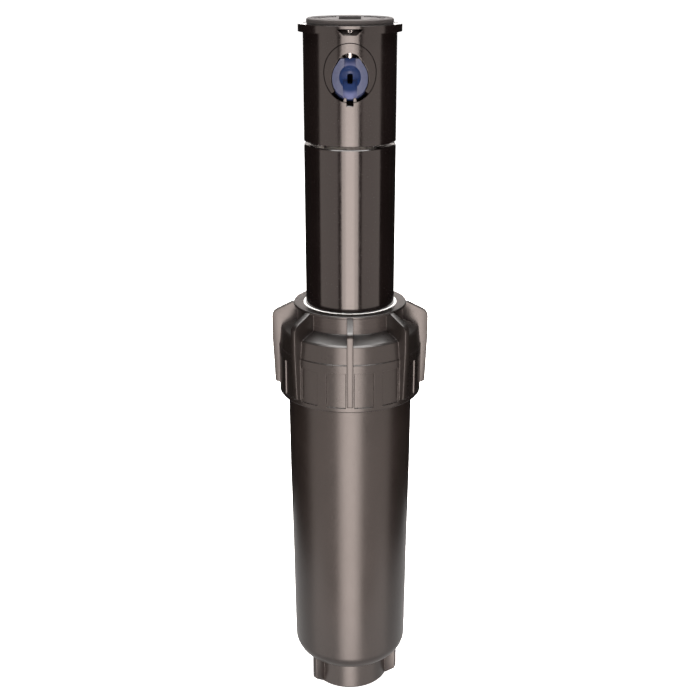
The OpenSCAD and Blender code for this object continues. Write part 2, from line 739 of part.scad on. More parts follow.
// Dovetail mark in the flange, above the nozzle
module flange_notch()
    translate([0, notch_depth - turret_r, flange_z - 0.6])
        rotate([90, 0, 0])
            linear_extrude(notch_depth + flange_w + 1)
                polygon([[-2.4, 0], [2.4, 0], [5.06, 2.4], [-5.06, 2.4]]);

module turret_cover() color([0.22, 0.21, 0.21])
    difference() {
        union() {
            turned([
                [0, cover_z - recess_h], [cover_r, cover_z - recess_h], [cover_r, cover_z + cover_h - 0.4],
                [cover_r - 0.4, cover_z + cover_h], [cover_r - 1.4, cover_z + cover_h],
                [cover_r - 1.7, cover_z + cover_h - 0.4], [0, cover_z + cover_h - 0.4]]);
            translate([-4.2, -6.5, cover_z]) cube([8.4, 9, cover_h + 0.8]);
        }
        rotate([0, 0, -90]) translate([screw_at, 0, cover_z - 2]) cylinder(r = 1.8, h = 6, $fn = fine);
        rotate([0, 0, arc_angle]) translate([arc_at, 0, cover_z - 2]) cylinder(r = 1.8, h = 6, $fn = fine);
        translate([-1.2, 6, cover_z - 2]) cube([2.4, 6, 6]);
    }

module nozzle() color([0.36, 0.39, 0.56])
    difference() {
        intersection() {
            stream_bore(nozzle_r, -nozzle_l, 8);
            cylinder(r = turret_r - 0.05, h = flange_z);
        }
        at_nozzle() {
            translate([-6, 0, 0]) rotate([0, 90, 0]) cylinder(r = bowl_r, h = 16);
            translate([-6, -channel_w / 2, 0]) cube([16, channel_w, 12]);
            translate([-3, -channel_w / 2, -12]) cube([16, channel_w, 12]);
            translate([-nozzle_l - 1, 0, 0])
                rotate([0, 90, 0]) cylinder(r = tube_in_r - 0.6, h = nozzle_l - 7);
            translate([-nozzle_l, 0, 0]) rotate([0, 90, 0]) cylinder(r = 1, h = 16, $fn = fine);
        }
    }

// Hollow drive shaft of the turret, with windows at its foot where the water goes in
module flow_tube() color([0.9, 0.9, 0.88]) {
    window_low = tube_z + 2.6;
    difference() {
        union() {
            ring(tube_r, tube_in_r, tube_z + 1, web_z + web_t - 0.5);
            translate([0, 0, tube_z]) cylinder(r = tube_r, h = 2);
        }
        for (a = [0, 90])
            rotate([0, 0, a])
                translate([-10, -3, window_low]) cube([20, 6, clip_z - 1.6 - window_low]);
        ring(tube_r + 1, tube_r - 0.6, clip_z - 0.1, clip_z + 1.3);
    }
}

// Spring clip under the riser's top plate, which holds the turret down
module retaining_clip() color([0.75, 0.76, 0.78])
    difference() {
        ring(tube_r + 2.2, tube_r - 0.55, clip_z, clip_z + 1.2);
        translate([0, -1.5, clip_z - 1]) cube([12, 3, 4]);
    }

module clutch_ring() color([0.08, 0.08, 0.08])
    ring(clutch_r, drive_r + 1.4, tube_z - 1.2, tube_z);

// ---------- adjusters ----------

module radius_screw() color([0.82, 0.83, 0.84])
    rotate([0, 0, -90]) translate([screw_at, 0, 0])
        difference() {
            turned([
                [0, ceiling_z - screw_reach], [screw_r - 0.6, ceiling_z - screw_reach],
                [screw_r, ceiling_z - screw_reach + 0.7], [screw_r, screw_head_z],
                [screw_head_r, screw_head_z], [screw_head_r, screw_head_z + screw_head_h],
                [0, screw_head_z + screw_head_h]]);
            translate([-3, -0.35, screw_head_z + 1]) cube([6, 0.7, 2]);
        }

module arc_shaft() color([0.9, 0.9, 0.88])
    rotate([0, 0, arc_angle]) translate([arc_at, 0, 0]) {
        gear(arc_pinion_teeth, arc_module, arc_z + 1.5, arc_z + 1.5 + arc_gear_h, 0.6, 180);
        difference() {
            turned([
                [0, arc_z + 1.5], [arc_shaft_r, arc_z + 1.5], [arc_shaft_r, cover_z - 3.4],
                [2.3, cover_z - 3.4], [2.3, cover_z - 1], [0, cover_z - 1]]);
            translate([-3, -0.4, cover_z - 2]) cube([6, 0.8, 2]);
        }
    }

// Ring that carries the movable stop, turned by the arc shaft
module arc_ring() color([0.93, 0.93, 0.9]) {
    ring(9.8, hub_r + 0.1, arc_z + 0.1, arc_z + 1.6);
    gear(arc_ring_teeth, arc_module, arc_z + 1.5, arc_z + 1.5 + arc_gear_h, hub_r + 0.1,
        arc_angle + 180 / arc_ring_teeth);
    spoke(9.4, stop_r[1], stop_w, arc_z + 0.1, arc_z + 1.3, moving_stop_angle);
    spoke(stop_r[0], stop_r[1], stop_w, stop_z, arc_z + 0.1 + e, moving_stop_angle);
}

case_shell();
cap();
wiper_seal();
glide_ring();
retract_spring();
riser_tube();
guide_ring();
inlet_screen();
stator();
bypass_cage();
bypass_spring();
gearbox_base();
gearbox_can();
gearbox_lid();
gear_axles();
thrust_washer();
shaft_seal();
bypass_poppet();
trip_rod();
trip_lever();
reversing_plate();
toggle_spring();
turbine_wheel();
turbine_shaft();
turbine_pinion();
gear_cluster(1);  // gear_cluster_1
gear_cluster(2);  // gear_cluster_2
gear_cluster(3);  // gear_cluster_3
gear_cluster(4);  // gear_cluster_4
gear_cluster(5);  // gear_cluster_5
drive_gear();
clutch_plate();
turret_shell();
turret_cover();
nozzle();
flow_tube();
retaining_clip();
clutch_ring();
radius_screw();
arc_shaft();
arc_ring();
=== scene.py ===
"""Looks of a gear-driven pop-up sprinkler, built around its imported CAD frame.

Lengths in the classes are millimetres, as in the frame's own drawing, and meshes are made in metres.
"""

import logging
import math
from dataclasses import dataclass, field
from enum import Enum
from typing import Any, Callable, Iterable, Sequence

import bmesh
import bpy
from mathutils import Matrix, Vector


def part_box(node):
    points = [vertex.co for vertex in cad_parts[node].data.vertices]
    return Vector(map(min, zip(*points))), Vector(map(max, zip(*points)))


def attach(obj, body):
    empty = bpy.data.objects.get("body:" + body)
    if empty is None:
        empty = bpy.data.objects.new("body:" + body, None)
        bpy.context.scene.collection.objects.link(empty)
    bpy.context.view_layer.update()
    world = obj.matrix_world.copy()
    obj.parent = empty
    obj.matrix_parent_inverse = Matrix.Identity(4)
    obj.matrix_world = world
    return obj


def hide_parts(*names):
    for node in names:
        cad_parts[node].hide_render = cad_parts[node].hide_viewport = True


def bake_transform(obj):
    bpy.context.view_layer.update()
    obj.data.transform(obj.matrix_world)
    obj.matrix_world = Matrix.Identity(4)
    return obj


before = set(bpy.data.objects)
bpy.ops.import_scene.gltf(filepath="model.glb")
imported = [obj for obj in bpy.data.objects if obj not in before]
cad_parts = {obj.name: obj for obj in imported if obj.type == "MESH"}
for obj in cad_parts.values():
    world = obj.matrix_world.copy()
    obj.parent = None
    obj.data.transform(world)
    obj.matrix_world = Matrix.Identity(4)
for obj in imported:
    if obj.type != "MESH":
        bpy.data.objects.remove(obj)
log = logging.getLogger("sprinkler")

MM = 0.001
Point2 = tuple[float, float]
Point3 = tuple[float, float, float]
Colour = tuple[float, float, float]


# ---------------------------------------------------------------- node trees

class Wire:
    """An output socket: Python maths on it adds Math nodes to its tree."""

    def __init__(self, tree: "Tree", socket: bpy.types.NodeSocket) -> None:
        """Remembers the tree and the socket."""
        self.tree = tree
        self.socket = socket

    def maths(self, operation: str, *others: Any, swapped: bool = False) -> "Wire":
        """Adds one Math node.

        Args:
            operation: the Math node's operation.
            others: the further values, wires or numbers.
            swapped: True where this wire is the second value.

        Returns:
            The node's result.
        """
        values = [*others, self] if swapped else [self, *others]
        made = self.tree.node("ShaderNodeMath", {"operation": operation}, dict(enumerate(values)))
        return made.out(0)

    def __add__(self, other: Any) -> "Wire":
        """self + other."""
        return self.maths("ADD", other)

    __radd__ = __add__

    def __sub__(self, other: Any) -> "Wire":
        """self - other."""
        return self.maths("SUBTRACT", other)

    def __rsub__(self, other: Any) -> "Wire":
        """other - self."""
        return self.maths("SUBTRACT", other, swapped=True)

    def __mul__(self, other: Any) -> "Wire":
        """self * other."""
        return self.maths("MULTIPLY", other)

    __rmul__ = __mul__

    def __truediv__(self, other: Any) -> "Wire":
        """self / other."""
        return self.maths("DIVIDE", other)

    def __rtruediv__(self, other: Any) -> "Wire":
        """other / self."""
        return self.maths("DIVIDE", other, swapped=True)

    def __pow__(self, other: Any) -> "Wire":
        """self ** other."""
        return self.maths("POWER", other)

    def sine(self) -> "Wire":
        """Sine of the wire, in radians."""
        return self.maths("SINE")

    def cosine(self) -> "Wire":
        """Cosine of the wire, in radians."""
        return self.maths("COSINE")

    def ramp(self, low: float, high: float) -> "Wire":
        """0 below low, 1 above high, and smooth between them.

        Args:
            low: where it starts to rise.
            high: where it is 1.

        Returns:
            The ramp's value.
        """
        made = self.tree.node("ShaderNodeMapRange", {"interpolation_type": "SMOOTHSTEP"},
                              {0: self, 1: low, 2: high, 3: 0.0, 4: 1.0})
        return made.out(0)


class Made:
    """A node that a tree has added."""

    def __init__(self, tree: "Tree", node: bpy.types.Node) -> None:
        """Remembers the tree and the node."""
        self.tree = tree
        self.node = node

    def out(self, which: int | str = 0) -> Wire:
        """One output of the node."""
        return Wire(self.tree, self.node.outputs[which])


class Tree:
    """A shader or geometry tree that is built from Python."""

    def __init__(self, tree: bpy.types.NodeTree) -> None:
        """Wraps a node tree."""
        self.tree = tree

    def node(self, kind: str, settings: dict[str, Any] | None = None,
             values: dict[int | str, Any] | None = None) -> Made:
        """Adds a node of any type.

        Args:
            kind: the node's type.
            settings: its settings, which are set first.
            values: a value or a wire for each input, by name or number.

        Returns:
            The new node.
        """
        made = self.tree.nodes.new(kind)
        for name, value in (settings or {}).items():
            if name == "stops":
                self._stops(made, value)
            else:
                setattr(made, name, value)
        for name, value in (values or {}).items():
            if isinstance(value, Wire):
                self.tree.links.new(value.socket, made.inputs[name])
            else:
                made.inputs[name].default_value = value
        return Made(self, made)

    @staticmethod
    def _stops(ramp: bpy.types.Node, stops: Sequence[tuple[float, Colour]]) -> None:
        """Sets the stops of a colour ramp.

        Args:
            ramp: the colour ramp's node.
            stops: the place and the colour of each stop.
        """
        elements = ramp.color_ramp.elements
        while len(elements) < len(stops):
            elements.new(0.5)
        for element, (place, colour) in zip(elements, stops):
            element.position = place
            element.color = (*colour, 1.0)

    def mix(self, factor: Any, first: Any, second: Any) -> Wire:
        """Mixes two colours by a factor.

        Args:
            factor: the share of the second colour, a wire or a number.
            first: a colour or a wire.
            second: a colour or a wire.

        Returns:
            The mixed colour.
        """
        values = {0: factor}
        for place, colour in ((6, first), (7, second)):
            values[place] = colour if isinstance(colour, Wire) else (*colour, 1.0)
        return self.node("ShaderNodeMix", {"data_type": "RGBA"}, values).out(2)

    def noise(self, scale: float, detail: float = 2.0, rough: float = 0.5,
              at: Wire | None = None) -> Wire:
        """Noise on the object's own coordinates, with its scale in turns per metre.

        Args:
            scale: the scale.
            detail: how many finer layers it has.
            rough: how strong they are.
            at: other coordinates to read.

        Returns:
            The noise's value.
        """
        made = self.node("ShaderNodeTexNoise", {}, {
            "Vector": at or self.place(), "Scale": scale, "Detail": detail, "Roughness": rough})
        return made.out(0)

    def place(self) -> Wire:
        """The object's own coordinates."""
        return self.node("ShaderNodeTexCoord").out("Object")

    def parts(self, vector: Wire) -> tuple[Wire, Wire, Wire]:
        """The three parts of a vector."""
        made = self.node("ShaderNodeSeparateXYZ", {}, {0: vector})
        return made.out(0), made.out(1), made.out(2)


# ---------------------------------------------------------------- finishes

class Texture(Enum):
    """How a moulded skin is textured."""

    GLOSS = "gloss"
    SATIN = "satin"
    TURNED = "turned"
    RUBBER = "rubber"


@dataclass(frozen=True)
class Plastic:
    """Moulded plastic or rubber: grain, specks, faint flow marks and worn edges.

    Args:
        name: the material's name.
        slot: the record's material slot; not used.
        colour: the body colour.
        worn: the colour of rubbed edges and of dust.
        rough: the roughness of a clean stretch.
        texture: how the mould was finished.
        round: the radius of the softened edges, in mm.
        wear: how strongly the edges show it.
        dust: how many pale specks lie on it.
        specular: the strength of its reflection.
    """

    name: str
    slot: str
    colour: Colour
    worn: Colour
    rough: float
    texture: Texture = Texture.SATIN
    round: float = 0.18
    wear: float = 0.35
    dust: float = 0.25
    specular: float = 0.5

    def material(self) -> bpy.types.Material:
        """Builds the material, or gives the one built before.

        Returns:
            The material.
        """
        known = bpy.data.materials.get(self.name)
        if known:
            return known
        made = bpy.data.materials.new(self.name)
        made.use_nodes = True
        made.node_tree.nodes.clear()
        tree = Tree(made.node_tree)
        edge, soft = self._edge(tree)
        colour, rough = self._skin(tree, edge)
        bump = tree.node("ShaderNodeBump", {}, {
            "Strength": 1.0, "Distance": MM, "Height": self._relief(tree), "Normal": soft})
        shader = tree.node("ShaderNodeBsdfPrincipled", {}, {
            "Base Color": colour, "Roughness": rough, "Normal": bump.out(0),
            "Specular IOR Level": self.specular})
        tree.node("ShaderNodeOutputMaterial", {}, {0: shader.out(0)})
        return made

    def _edge(self, tree: Tree) -> tuple[Wire, Wire]:
        """Where the edges are, and the normal that rounds them.

        Args:
            tree: the material's tree.

        Returns:
            A mask of the edges, and the rounded normal.
        """
        bevel = tree.node("ShaderNodeBevel", {"samples": 4}, {"Radius": self.round * MM}).out(0)
        true = tree.node("ShaderNodeNewGeometry").out("Normal")
        turn = tree.node("ShaderNodeVectorMath", {"operation": "DOT_PRODUCT"}, {0: bevel, 1: true})
        return (1 - turn.out("Value")).ramp(0.004, 0.12), bevel

    def _skin(self, tree: Tree, edge: Wire) -> tuple[Wire, Wire]:
        """The colour and the roughness over the surface.

        Args:
            tree: the material's tree.
            edge: the mask of the edges.

        Returns:
            The colour and the roughness.
        """
        cloud = tree.noise(45, 3)
        fine = tree.noise(900, 3)
        specks = tree.noise(2600, 1).ramp(0.70 - 0.04 * self.dust, 0.78)
        shade = tree.mix((cloud * 0.6 + fine * 0.4).ramp(0.3, 0.72),
                         tuple(0.82 * c for c in self.colour), tuple(1.18 * c for c in self.colour))
        dusty = tree.mix(specks * (self.dust * 0.6) * cloud, shade, self.worn)
        rubbed = edge * fine.ramp(0.25, 0.6) * self.wear
        colour = tree.mix(rubbed, dusty, self.worn)
        rough = self.rough + (cloud - 0.5) * 0.10 + (fine - 0.5) * 0.12 + specks * 0.15
        return colour, rough

    def _relief(self, tree: Tree) -> Wire:
        """The height of the surface's texture, in millimetres.

        Args:
            tree: the material's tree.

        Returns:
            The height.
        """
        if self.texture is Texture.GLOSS:
            return tree.noise(90, 2) * 0.008 + tree.noise(1500, 2) * 0.0006
        if self.texture is Texture.RUBBER:
            return tree.noise(1800, 3) * 0.006 + tree.noise(300, 2) * 0.008
        grain = tree.noise(1500, 2) * 0.0012 + tree.noise(160, 2) * 0.005
        if self.texture is Texture.TURNED:
            height = tree.parts(tree.place())[2]
            lines = (height * (2 * math.pi / 0.00055)).sine() * 0.5 + 0.5
            return grain + lines * tree.noise(140, 1) * 0.012
        return grain


@dataclass(frozen=True)
class BoredPlastic(Plastic):
    """The nozzle's plastic, glossier in its bores: its own colour where it is flush with the turret, painted
    shade that darkens the bowl, the channels' walls and the bore, and painted light on the channels' floors.

    Args:
        painted_bowl_shade: the colour of the painted shade in the bowl and on the channels' walls.
        painted_channel_light: the paler colour painted on the floors of the channels above and below the
            bowl, as painted light.
        skin_r: the radius of the turret's skin, in mm.
        bowl_r: the radius of the bowl's rim.
        height: the height of the nozzle's middle.
    """

    painted_bowl_shade: Colour = (0.005, 0.016, 0.062)
    painted_channel_light: Colour = (0.075, 0.088, 0.17)
    skin_r: float = 18.5
    bowl_r: float = 4.6
    height: float = 276.48

    def _skin(self, tree: Tree, edge: Wire) -> tuple[Wire, Wire]:
        """The colour and the roughness, by the depth below the skin and the distance from the bowl: painted
        shade deeper down, and painted light on the channels' floors.

        Args:
            tree: the material's tree.
            edge: the mask of the edges.

        Returns:
            The colour and the roughness.
        """
        colour, rough = super()._skin(tree, edge)
        x, y, z = tree.parts(tree.place())
        depth = self.skin_r - (x * x + y * y) ** 0.5 / MM
        up = z - self.height * MM
        away = ((x * x + up * up) ** 0.5 / MM).ramp(self.bowl_r - 0.45, self.bowl_r - 0.15)
        # painted shade: the colour darkens from 0.12 mm below the skin, in the bowl and on the channels'
        # walls
        wall = tree.mix(depth.ramp(0.12, 0.4), colour, self.painted_bowl_shade)
        # painted light: the channels' floors, 0.9 to 2.3 mm below the skin and outside the bowl, are painted
        # paler
        floor = tree.mix(depth.ramp(0.9, 1.1) * away * (1 - depth.ramp(1.7, 2.3)), wall, self.painted_channel_light)
        # painted shade: near black deeper than 3 mm, inside the bore
        bore = tree.mix(depth.ramp(3.0, 3.4), floor, (0.001, 0.001, 0.002))
        return bore, rough - depth.ramp(0.2, 1.5) * 0.08


@dataclass(frozen=True)
class Steel:
    """Drawn or turned steel, with fine lines round its axis and a little tarnish.

    Args:
        name: the material's name.
        slot: the record's material slot; not used.
        colour: the metal's colour.
        rough: its roughness.
        lines: the depth of the drawing lines, in mm.
    """

    name: str
    slot: str
    colour: Colour = (0.62, 0.62, 0.63)
    rough: float = 0.22
    lines: float = 0.004

    def material(self) -> bpy.types.Material:
        """Builds the material, or gives the one built before.

        Returns:
            The material.
        """
        known = bpy.data.materials.get(self.name)
        if known:
            return known
        made = bpy.data.materials.new(self.name)
        made.use_nodes = True
        made.node_tree.nodes.clear()
        tree = Tree(made.node_tree)
        cloud, fine = tree.noise(220, 3), tree.noise(2800, 3)
        height = tree.parts(tree.place())[2]
        lines = (height * 42000 + fine * 3).sine() * 0.5 + 0.5
        colour = tree.mix(cloud.ramp(0.35, 0.75), self.colour, tuple(0.72 * c for c in self.colour))
        rough = self.rough + fine * 0.14 + lines * 0.05
        bump = tree.node("ShaderNodeBump", {}, {
            "Strength": 0.6, "Distance": MM, "Height": lines * self.lines + fine * 0.003})
        shader = tree.node("ShaderNodeBsdfPrincipled", {}, {
            "Base Color": colour, "Metallic": 1.0, "Roughness": rough, "Normal": bump.out(0)})
        tree.node("ShaderNodeOutputMaterial", {}, {0: shader.out(0)})
        return made


CASE = Plastic("black_case", "case_plastic", (0.0080, 0.0060, 0.0054), (0.08, 0.068, 0.062), 0.33)
CAP = Plastic("black_cap", "cap_plastic", (0.0075, 0.0062, 0.0058), (0.10, 0.09, 0.085), 0.30)
NECK = Plastic("turned_neck", "cap_plastic", (0.013, 0.0105, 0.010), (0.10, 0.09, 0.085), 0.32,
               Texture.TURNED)
RISER = Plastic("gloss_riser", "riser_plastic", (0.0042, 0.0030, 0.0030), (0.05, 0.045, 0.04), 0.15,
                Texture.GLOSS, dust=0.15, wear=0.2)
TURRET = Plastic("gloss_turret", "turret_plastic", (0.0050, 0.0036, 0.0036), (0.06, 0.055, 0.05), 0.18,
                 Texture.GLOSS, round=0.22, dust=0.15, wear=0.25)
RUBBER = Plastic("cover_rubber", "cover_rubber", (0.0085, 0.0082, 0.0085), (0.12, 0.115, 0.11), 0.33,
                 Texture.RUBBER, round=0.3, specular=0.5)
SEAL = Plastic("seal_rubber", "seal_rubber", (0.012, 0.012, 0.012), (0.08, 0.08, 0.08), 0.48,
               Texture.RUBBER, specular=0.4)
WHITE = Plastic("white_acetal", "glide_white", (0.80, 0.80, 0.78), (0.62, 0.61, 0.57), 0.34, dust=0.1)
INNER = Plastic("natural_plastic", "inner_plastic", (0.62, 0.62, 0.58), (0.50, 0.49, 0.44), 0.40)
GEAR = Plastic("gear_acetal", "gear_acetal", (0.72, 0.66, 0.50), (0.56, 0.50, 0.38), 0.36)
POPPET = Plastic("poppet_plastic", "poppet_red", (0.45, 0.07, 0.04), (0.55, 0.25, 0.2), 0.36)
NOZZLE = BoredPlastic("nozzle_plastic", "nozzle_blue", (0.038, 0.048, 0.088), (0.24, 0.26, 0.38), 0.42,
                      round=0.15, wear=0.3, dust=0.1, specular=0.22)
SPRING = Steel("spring_wire", "spring_steel")
AXLE = Steel("ground_axle", "axle_steel", rough=0.16, lines=0.002)
SCREW = Steel("bright_screw", "screw_steel", (0.80, 0.80, 0.80), 0.14, 0.001)

Finish = Plastic | Steel


# ---------------------------------------------------------------- mesh making

def arc_points(middle: Point2, radius: float, start: float, end: float, steps: int) -> list[Point2]:
    """Points of an arc.

    Args:
        middle: the arc's centre.
        radius: its radius.
        start: the first angle, in degrees.
        end: the last angle, in degrees.
        steps: how many steps it has.

    Returns:
        The points, from start to end.
    """
    angles = [math.radians(start + (end - start) * i / steps) for i in range(steps + 1)]
    return [(middle[0] + radius * math.cos(a), middle[1] + radius * math.sin(a)) for a in angles]


def softened(corners: Sequence[tuple[float, ...]], steps: int = 4) -> list[Point2]:
    """Rounds the corners of a closed outline.

    Args:
        corners: points of (x, y) or (x, y, radius).
        steps: steps in each rounded corner.

    Returns:
        The outline's points, with two close together where a rounded corner ends.
    """
    outline: list[Point2] = []
    count = len(corners)
    for i, corner in enumerate(corners):
        here = Vector(corner[:2])
        radius = corner[2] if len(corner) > 2 else 0.0
        back = Vector(corners[i - 1][:2]) - here
        ahead = Vector(corners[(i + 1) % count][:2]) - here
        half = back.angle(ahead) / 2
        if radius <= 0 or half > math.radians(88):
            outline.append((here.x, here.y))
            continue
        reach = min(radius / math.tan(half), 0.42 * back.length, 0.42 * ahead.length)
        radius = reach * math.tan(half)
        middle = here + (back.normalized() + ahead.normalized()).normalized() * radius / math.sin(half)
        first, last = here + back.normalized() * reach, here + ahead.normalized() * reach
        outline.append(tuple(here + back.normalized() * (reach * 1.12)))
        for k in range(steps + 1):
            ray = (first - middle).lerp(last - middle, k / steps).normalized()
            outline.append(tuple(middle + ray * radius))
        outline.append(tuple(here + ahead.normalized() * (reach * 1.12)))
    return outline


def new_object(name: str, vertices: Iterable[Point3], faces: Iterable[Sequence[int]],
               scale: float = MM) -> bpy.types.Object:
    """Makes a mesh object at the origin.

    Args:
        name: its name.
        vertices: its points.
        faces: its faces.
        scale: the size of the points' unit, in metres.

    Returns:
        The object, in the scene.
    """
    mesh = bpy.data.meshes.new(name)
    mesh.from_pydata([tuple(c * scale for c in v) for v in vertices], [], list(faces))
    mesh.validate()
    made = bpy.data.objects.new(name, mesh)
    bpy.context.scene.collection.objects.link(made)
    return made


def smooth(piece: bpy.types.Object, angle: float = 32) -> bpy.types.Object:
    """Shades a mesh smooth, with sharp edges above an angle in degrees.

    Args:
        piece: the piece.
        angle: the angle above which an edge is sharp.

    Returns:
        The piece.
    """
    piece.data.shade_smooth()
    piece.data.set_sharp_from_angle(angle=math.radians(angle))
    return piece


def outwards(piece: bpy.types.Object) -> bpy.types.Object:
    """Merges doubles and turns the faces of closed shells outwards.

    Args:
        piece: the piece.

    Returns:
        The piece.
    """
    work = bmesh.new()
    work.from_mesh(piece.data)
    bmesh.ops.remove_doubles(work, verts=work.verts, dist=1e-7)
    bmesh.ops.recalc_face_normals(work, faces=work.faces)
    if work.calc_volume(signed=True) < 0:
        bmesh.ops.reverse_faces(work, faces=work.faces)
    work.to_mesh(piece.data)
    work.free()
    return piece


def joined(name: str, pieces: Sequence[bpy.types.Object]) -> bpy.types.Object:
    """Joins mesh objects at the origin into one.

    Args:
        name: the new object's name.
        pieces: the objects, which are removed.

    Returns:
        The new object, with the pieces' materials.
    """
    work = bmesh.new()
    materials: list[bpy.types.Material] = []
    for piece in pieces:
        first = len(work.faces)
        work.from_mesh(piece.data)
        work.faces.ensure_lookup_table()
        numbers = []
        for material in piece.data.materials:
            if material not in materials:
                materials.append(material)
            numbers.append(materials.index(material))
        for face in work.faces[first:]:
            face.material_index = numbers[face.material_index] if numbers else 0
        bpy.data.objects.remove(piece)
    mesh = bpy.data.meshes.new(name)
    work.to_mesh(mesh)
    work.free()
    for material in materials:
        mesh.materials.append(material)
    made = bpy.data.objects.new(name, mesh)
    bpy.context.scene.collection.objects.link(made)
    return made


def turned_skin(name: str, outline: Sequence[Point2], angles: Sequence[float],
                inset: Callable[[float, float, float], float] | None = None) -> bpy.types.Object:
    """Turns a closed outline about the Z axis.

    Args:
        name: the object's name.
        outline: points of (radius, height), in mm.
        angles: the angles of the columns, in degrees, over one turn.
        inset: depth to take off the radius, from angle, radius and height.

    Returns:
        A closed shell with its faces outwards.
    """
    vertices = []
    for angle in angles:
        turn = math.radians(angle)
        for radius, height in outline:
            out = radius - (inset(angle, radius, height) if inset else 0.0)
            vertices.append((out * math.cos(turn), out * math.sin(turn), height))
    rows, columns = len(outline), len(angles)
    faces = []
    for i in range(columns):
        for k in range(rows):
            after, above = (i + 1) % columns, (k + 1) % rows
            faces.append((i * rows + k, after * rows + k, after * rows + above, i * rows + above))
    return outwards(new_object(name, vertices, faces))


def slab(name: str, outline: Sequence[Point2], low: float, high: float,
         bevel: float = 0.2) -> bpy.types.Object:
    """Extrudes an outline along Z and rounds all its edges.

    Args:
        name: the object's name.
        outline: its points, in mm.
        low: the lower height.
        high: the upper height.
        bevel: the width of the rounded edges.

    Returns:
        The object.
    """
    count = len(outline)
    vertices = [(x, y, low) for x, y in outline] + [(x, y, high) for x, y in outline]
    faces = [tuple(reversed(range(count))), tuple(range(count, 2 * count))]
    faces += [(i, (i + 1) % count, count + (i + 1) % count, count + i) for i in range(count)]
    made = outwards(new_object(name, vertices, faces))
    if bevel > 0:
        work = bmesh.new()
        work.from_mesh(made.data)
        edges = [e for e in work.edges if e.calc_face_angle(0) > math.radians(25)]
        bmesh.ops.bevel(work, geom=edges, offset=bevel * MM, segments=3, profile=0.5, affect="EDGES",
                        clamp_overlap=True)
        work.to_mesh(made.data)
        work.free()
    return smooth(made, 40)


def rod(name: str, radius: float, start: float, end: float, sides: int = 96) -> bpy.types.Object:
    """A closed cylinder along the X axis, in mm.

    Args:
        name: its name.
        radius: its radius.
        start: where it begins on X.
        end: where it ends on X.
        sides: how many flats it has.

    Returns:
        The rod.
    """
    ring_points = arc_points((0, 0), radius, 0, 360, sides)[:-1]
    vertices = [(start, y, z) for y, z in ring_points] + [(end, y, z) for y, z in ring_points]
    faces = [tuple(range(sides)), tuple(range(sides, 2 * sides))]
    faces += [(i, (i + 1) % sides, sides + (i + 1) % sides, sides + i) for i in range(sides)]
    return outwards(new_object(name, vertices, faces))


def block(name: str, low: Point3, high: Point3) -> bpy.types.Object:
    """A plain box between two corners, for cutting.

    Args:
        name: its name.
        low: its lowest corner, in mm.
        high: its highest corner.

    Returns:
        The box.
    """
    vertices = [(x, y, z) for x in (low[0], high[0]) for y in (low[1], high[1]) for z in (low[2], high[2])]
    faces = [(0, 1, 3, 2), (4, 6, 7, 5), (0, 4, 5, 1), (2, 3, 7, 6), (0, 2, 6, 4), (1, 5, 7, 3)]
    return outwards(new_object(name, vertices, faces))


def carved(piece: bpy.types.Object, **cutters: Sequence[bpy.types.Object]) -> bpy.types.Object:
    """Runs exact booleans on a piece.

    Args:
        piece: the closed piece.
        cutters: the closed shapes for union, intersect and difference, which are removed.

    Returns:
        The piece, with no modifier.
    """
    used = []
    for operation, shapes in cutters.items():
        for shape in shapes:
            modifier = piece.modifiers.new("carve", "BOOLEAN")
            modifier.operation = operation.upper()
            modifier.solver = "EXACT"
            modifier.object = shape
            used.append(shape)
    bpy.context.view_layer.update()
    graph = bpy.context.evaluated_depsgraph_get()
    mesh = bpy.data.meshes.new_from_object(piece.evaluated_get(graph), depsgraph=graph)
    piece.modifiers.clear()
    piece.data = mesh
    for shape in used:
        bpy.data.objects.remove(shape)
    return piece


def skin_normals(piece: bpy.types.Object, radii: Sequence[float], angle: float = 30) -> bpy.types.Object:
    """Shades a carved mesh, with true round normals where it lies on a turned skin.

    Args:
        piece: the piece.
        radii: the skins' radii about the Z axis, in mm.
        angle: the angle of the other sharp edges, in degrees.

    Returns:
        The piece.
    """
    smooth(piece, angle)
    mesh = piece.data
    normals = [Vector(corner.vector) for corner in mesh.corner_normals]
    for face in mesh.polygons:
        if abs(face.normal.z) > 0.02:
            continue
        spots = [mesh.vertices[i].co for i in face.vertices]
        for radius in radii:
            if all(abs(math.hypot(v.x, v.y) / MM - radius) < 0.03 for v in spots):
                for loop in face.loop_indices:
                    spot = mesh.vertices[mesh.loops[loop].vertex_index].co
                    out = Vector((spot.x, spot.y, 0)).normalized()
                    normals[loop] = out if out.dot(face.normal) > 0 else -out
    mesh.normals_split_custom_set(normals)
    return piece


def placed(piece: bpy.types.Object, matrix: Matrix) -> bpy.types.Object:
    """Moves the mesh itself, so that its object stays at the origin."""
    piece.data.transform(matrix)
    return piece


def turned_by(degrees: float, axis: str = "Z") -> Matrix:
    """A rotation about an axis through the origin."""
    return Matrix.Rotation(math.radians(degrees), 4, axis)


# ---------------------------------------------------------------- geometry nodes

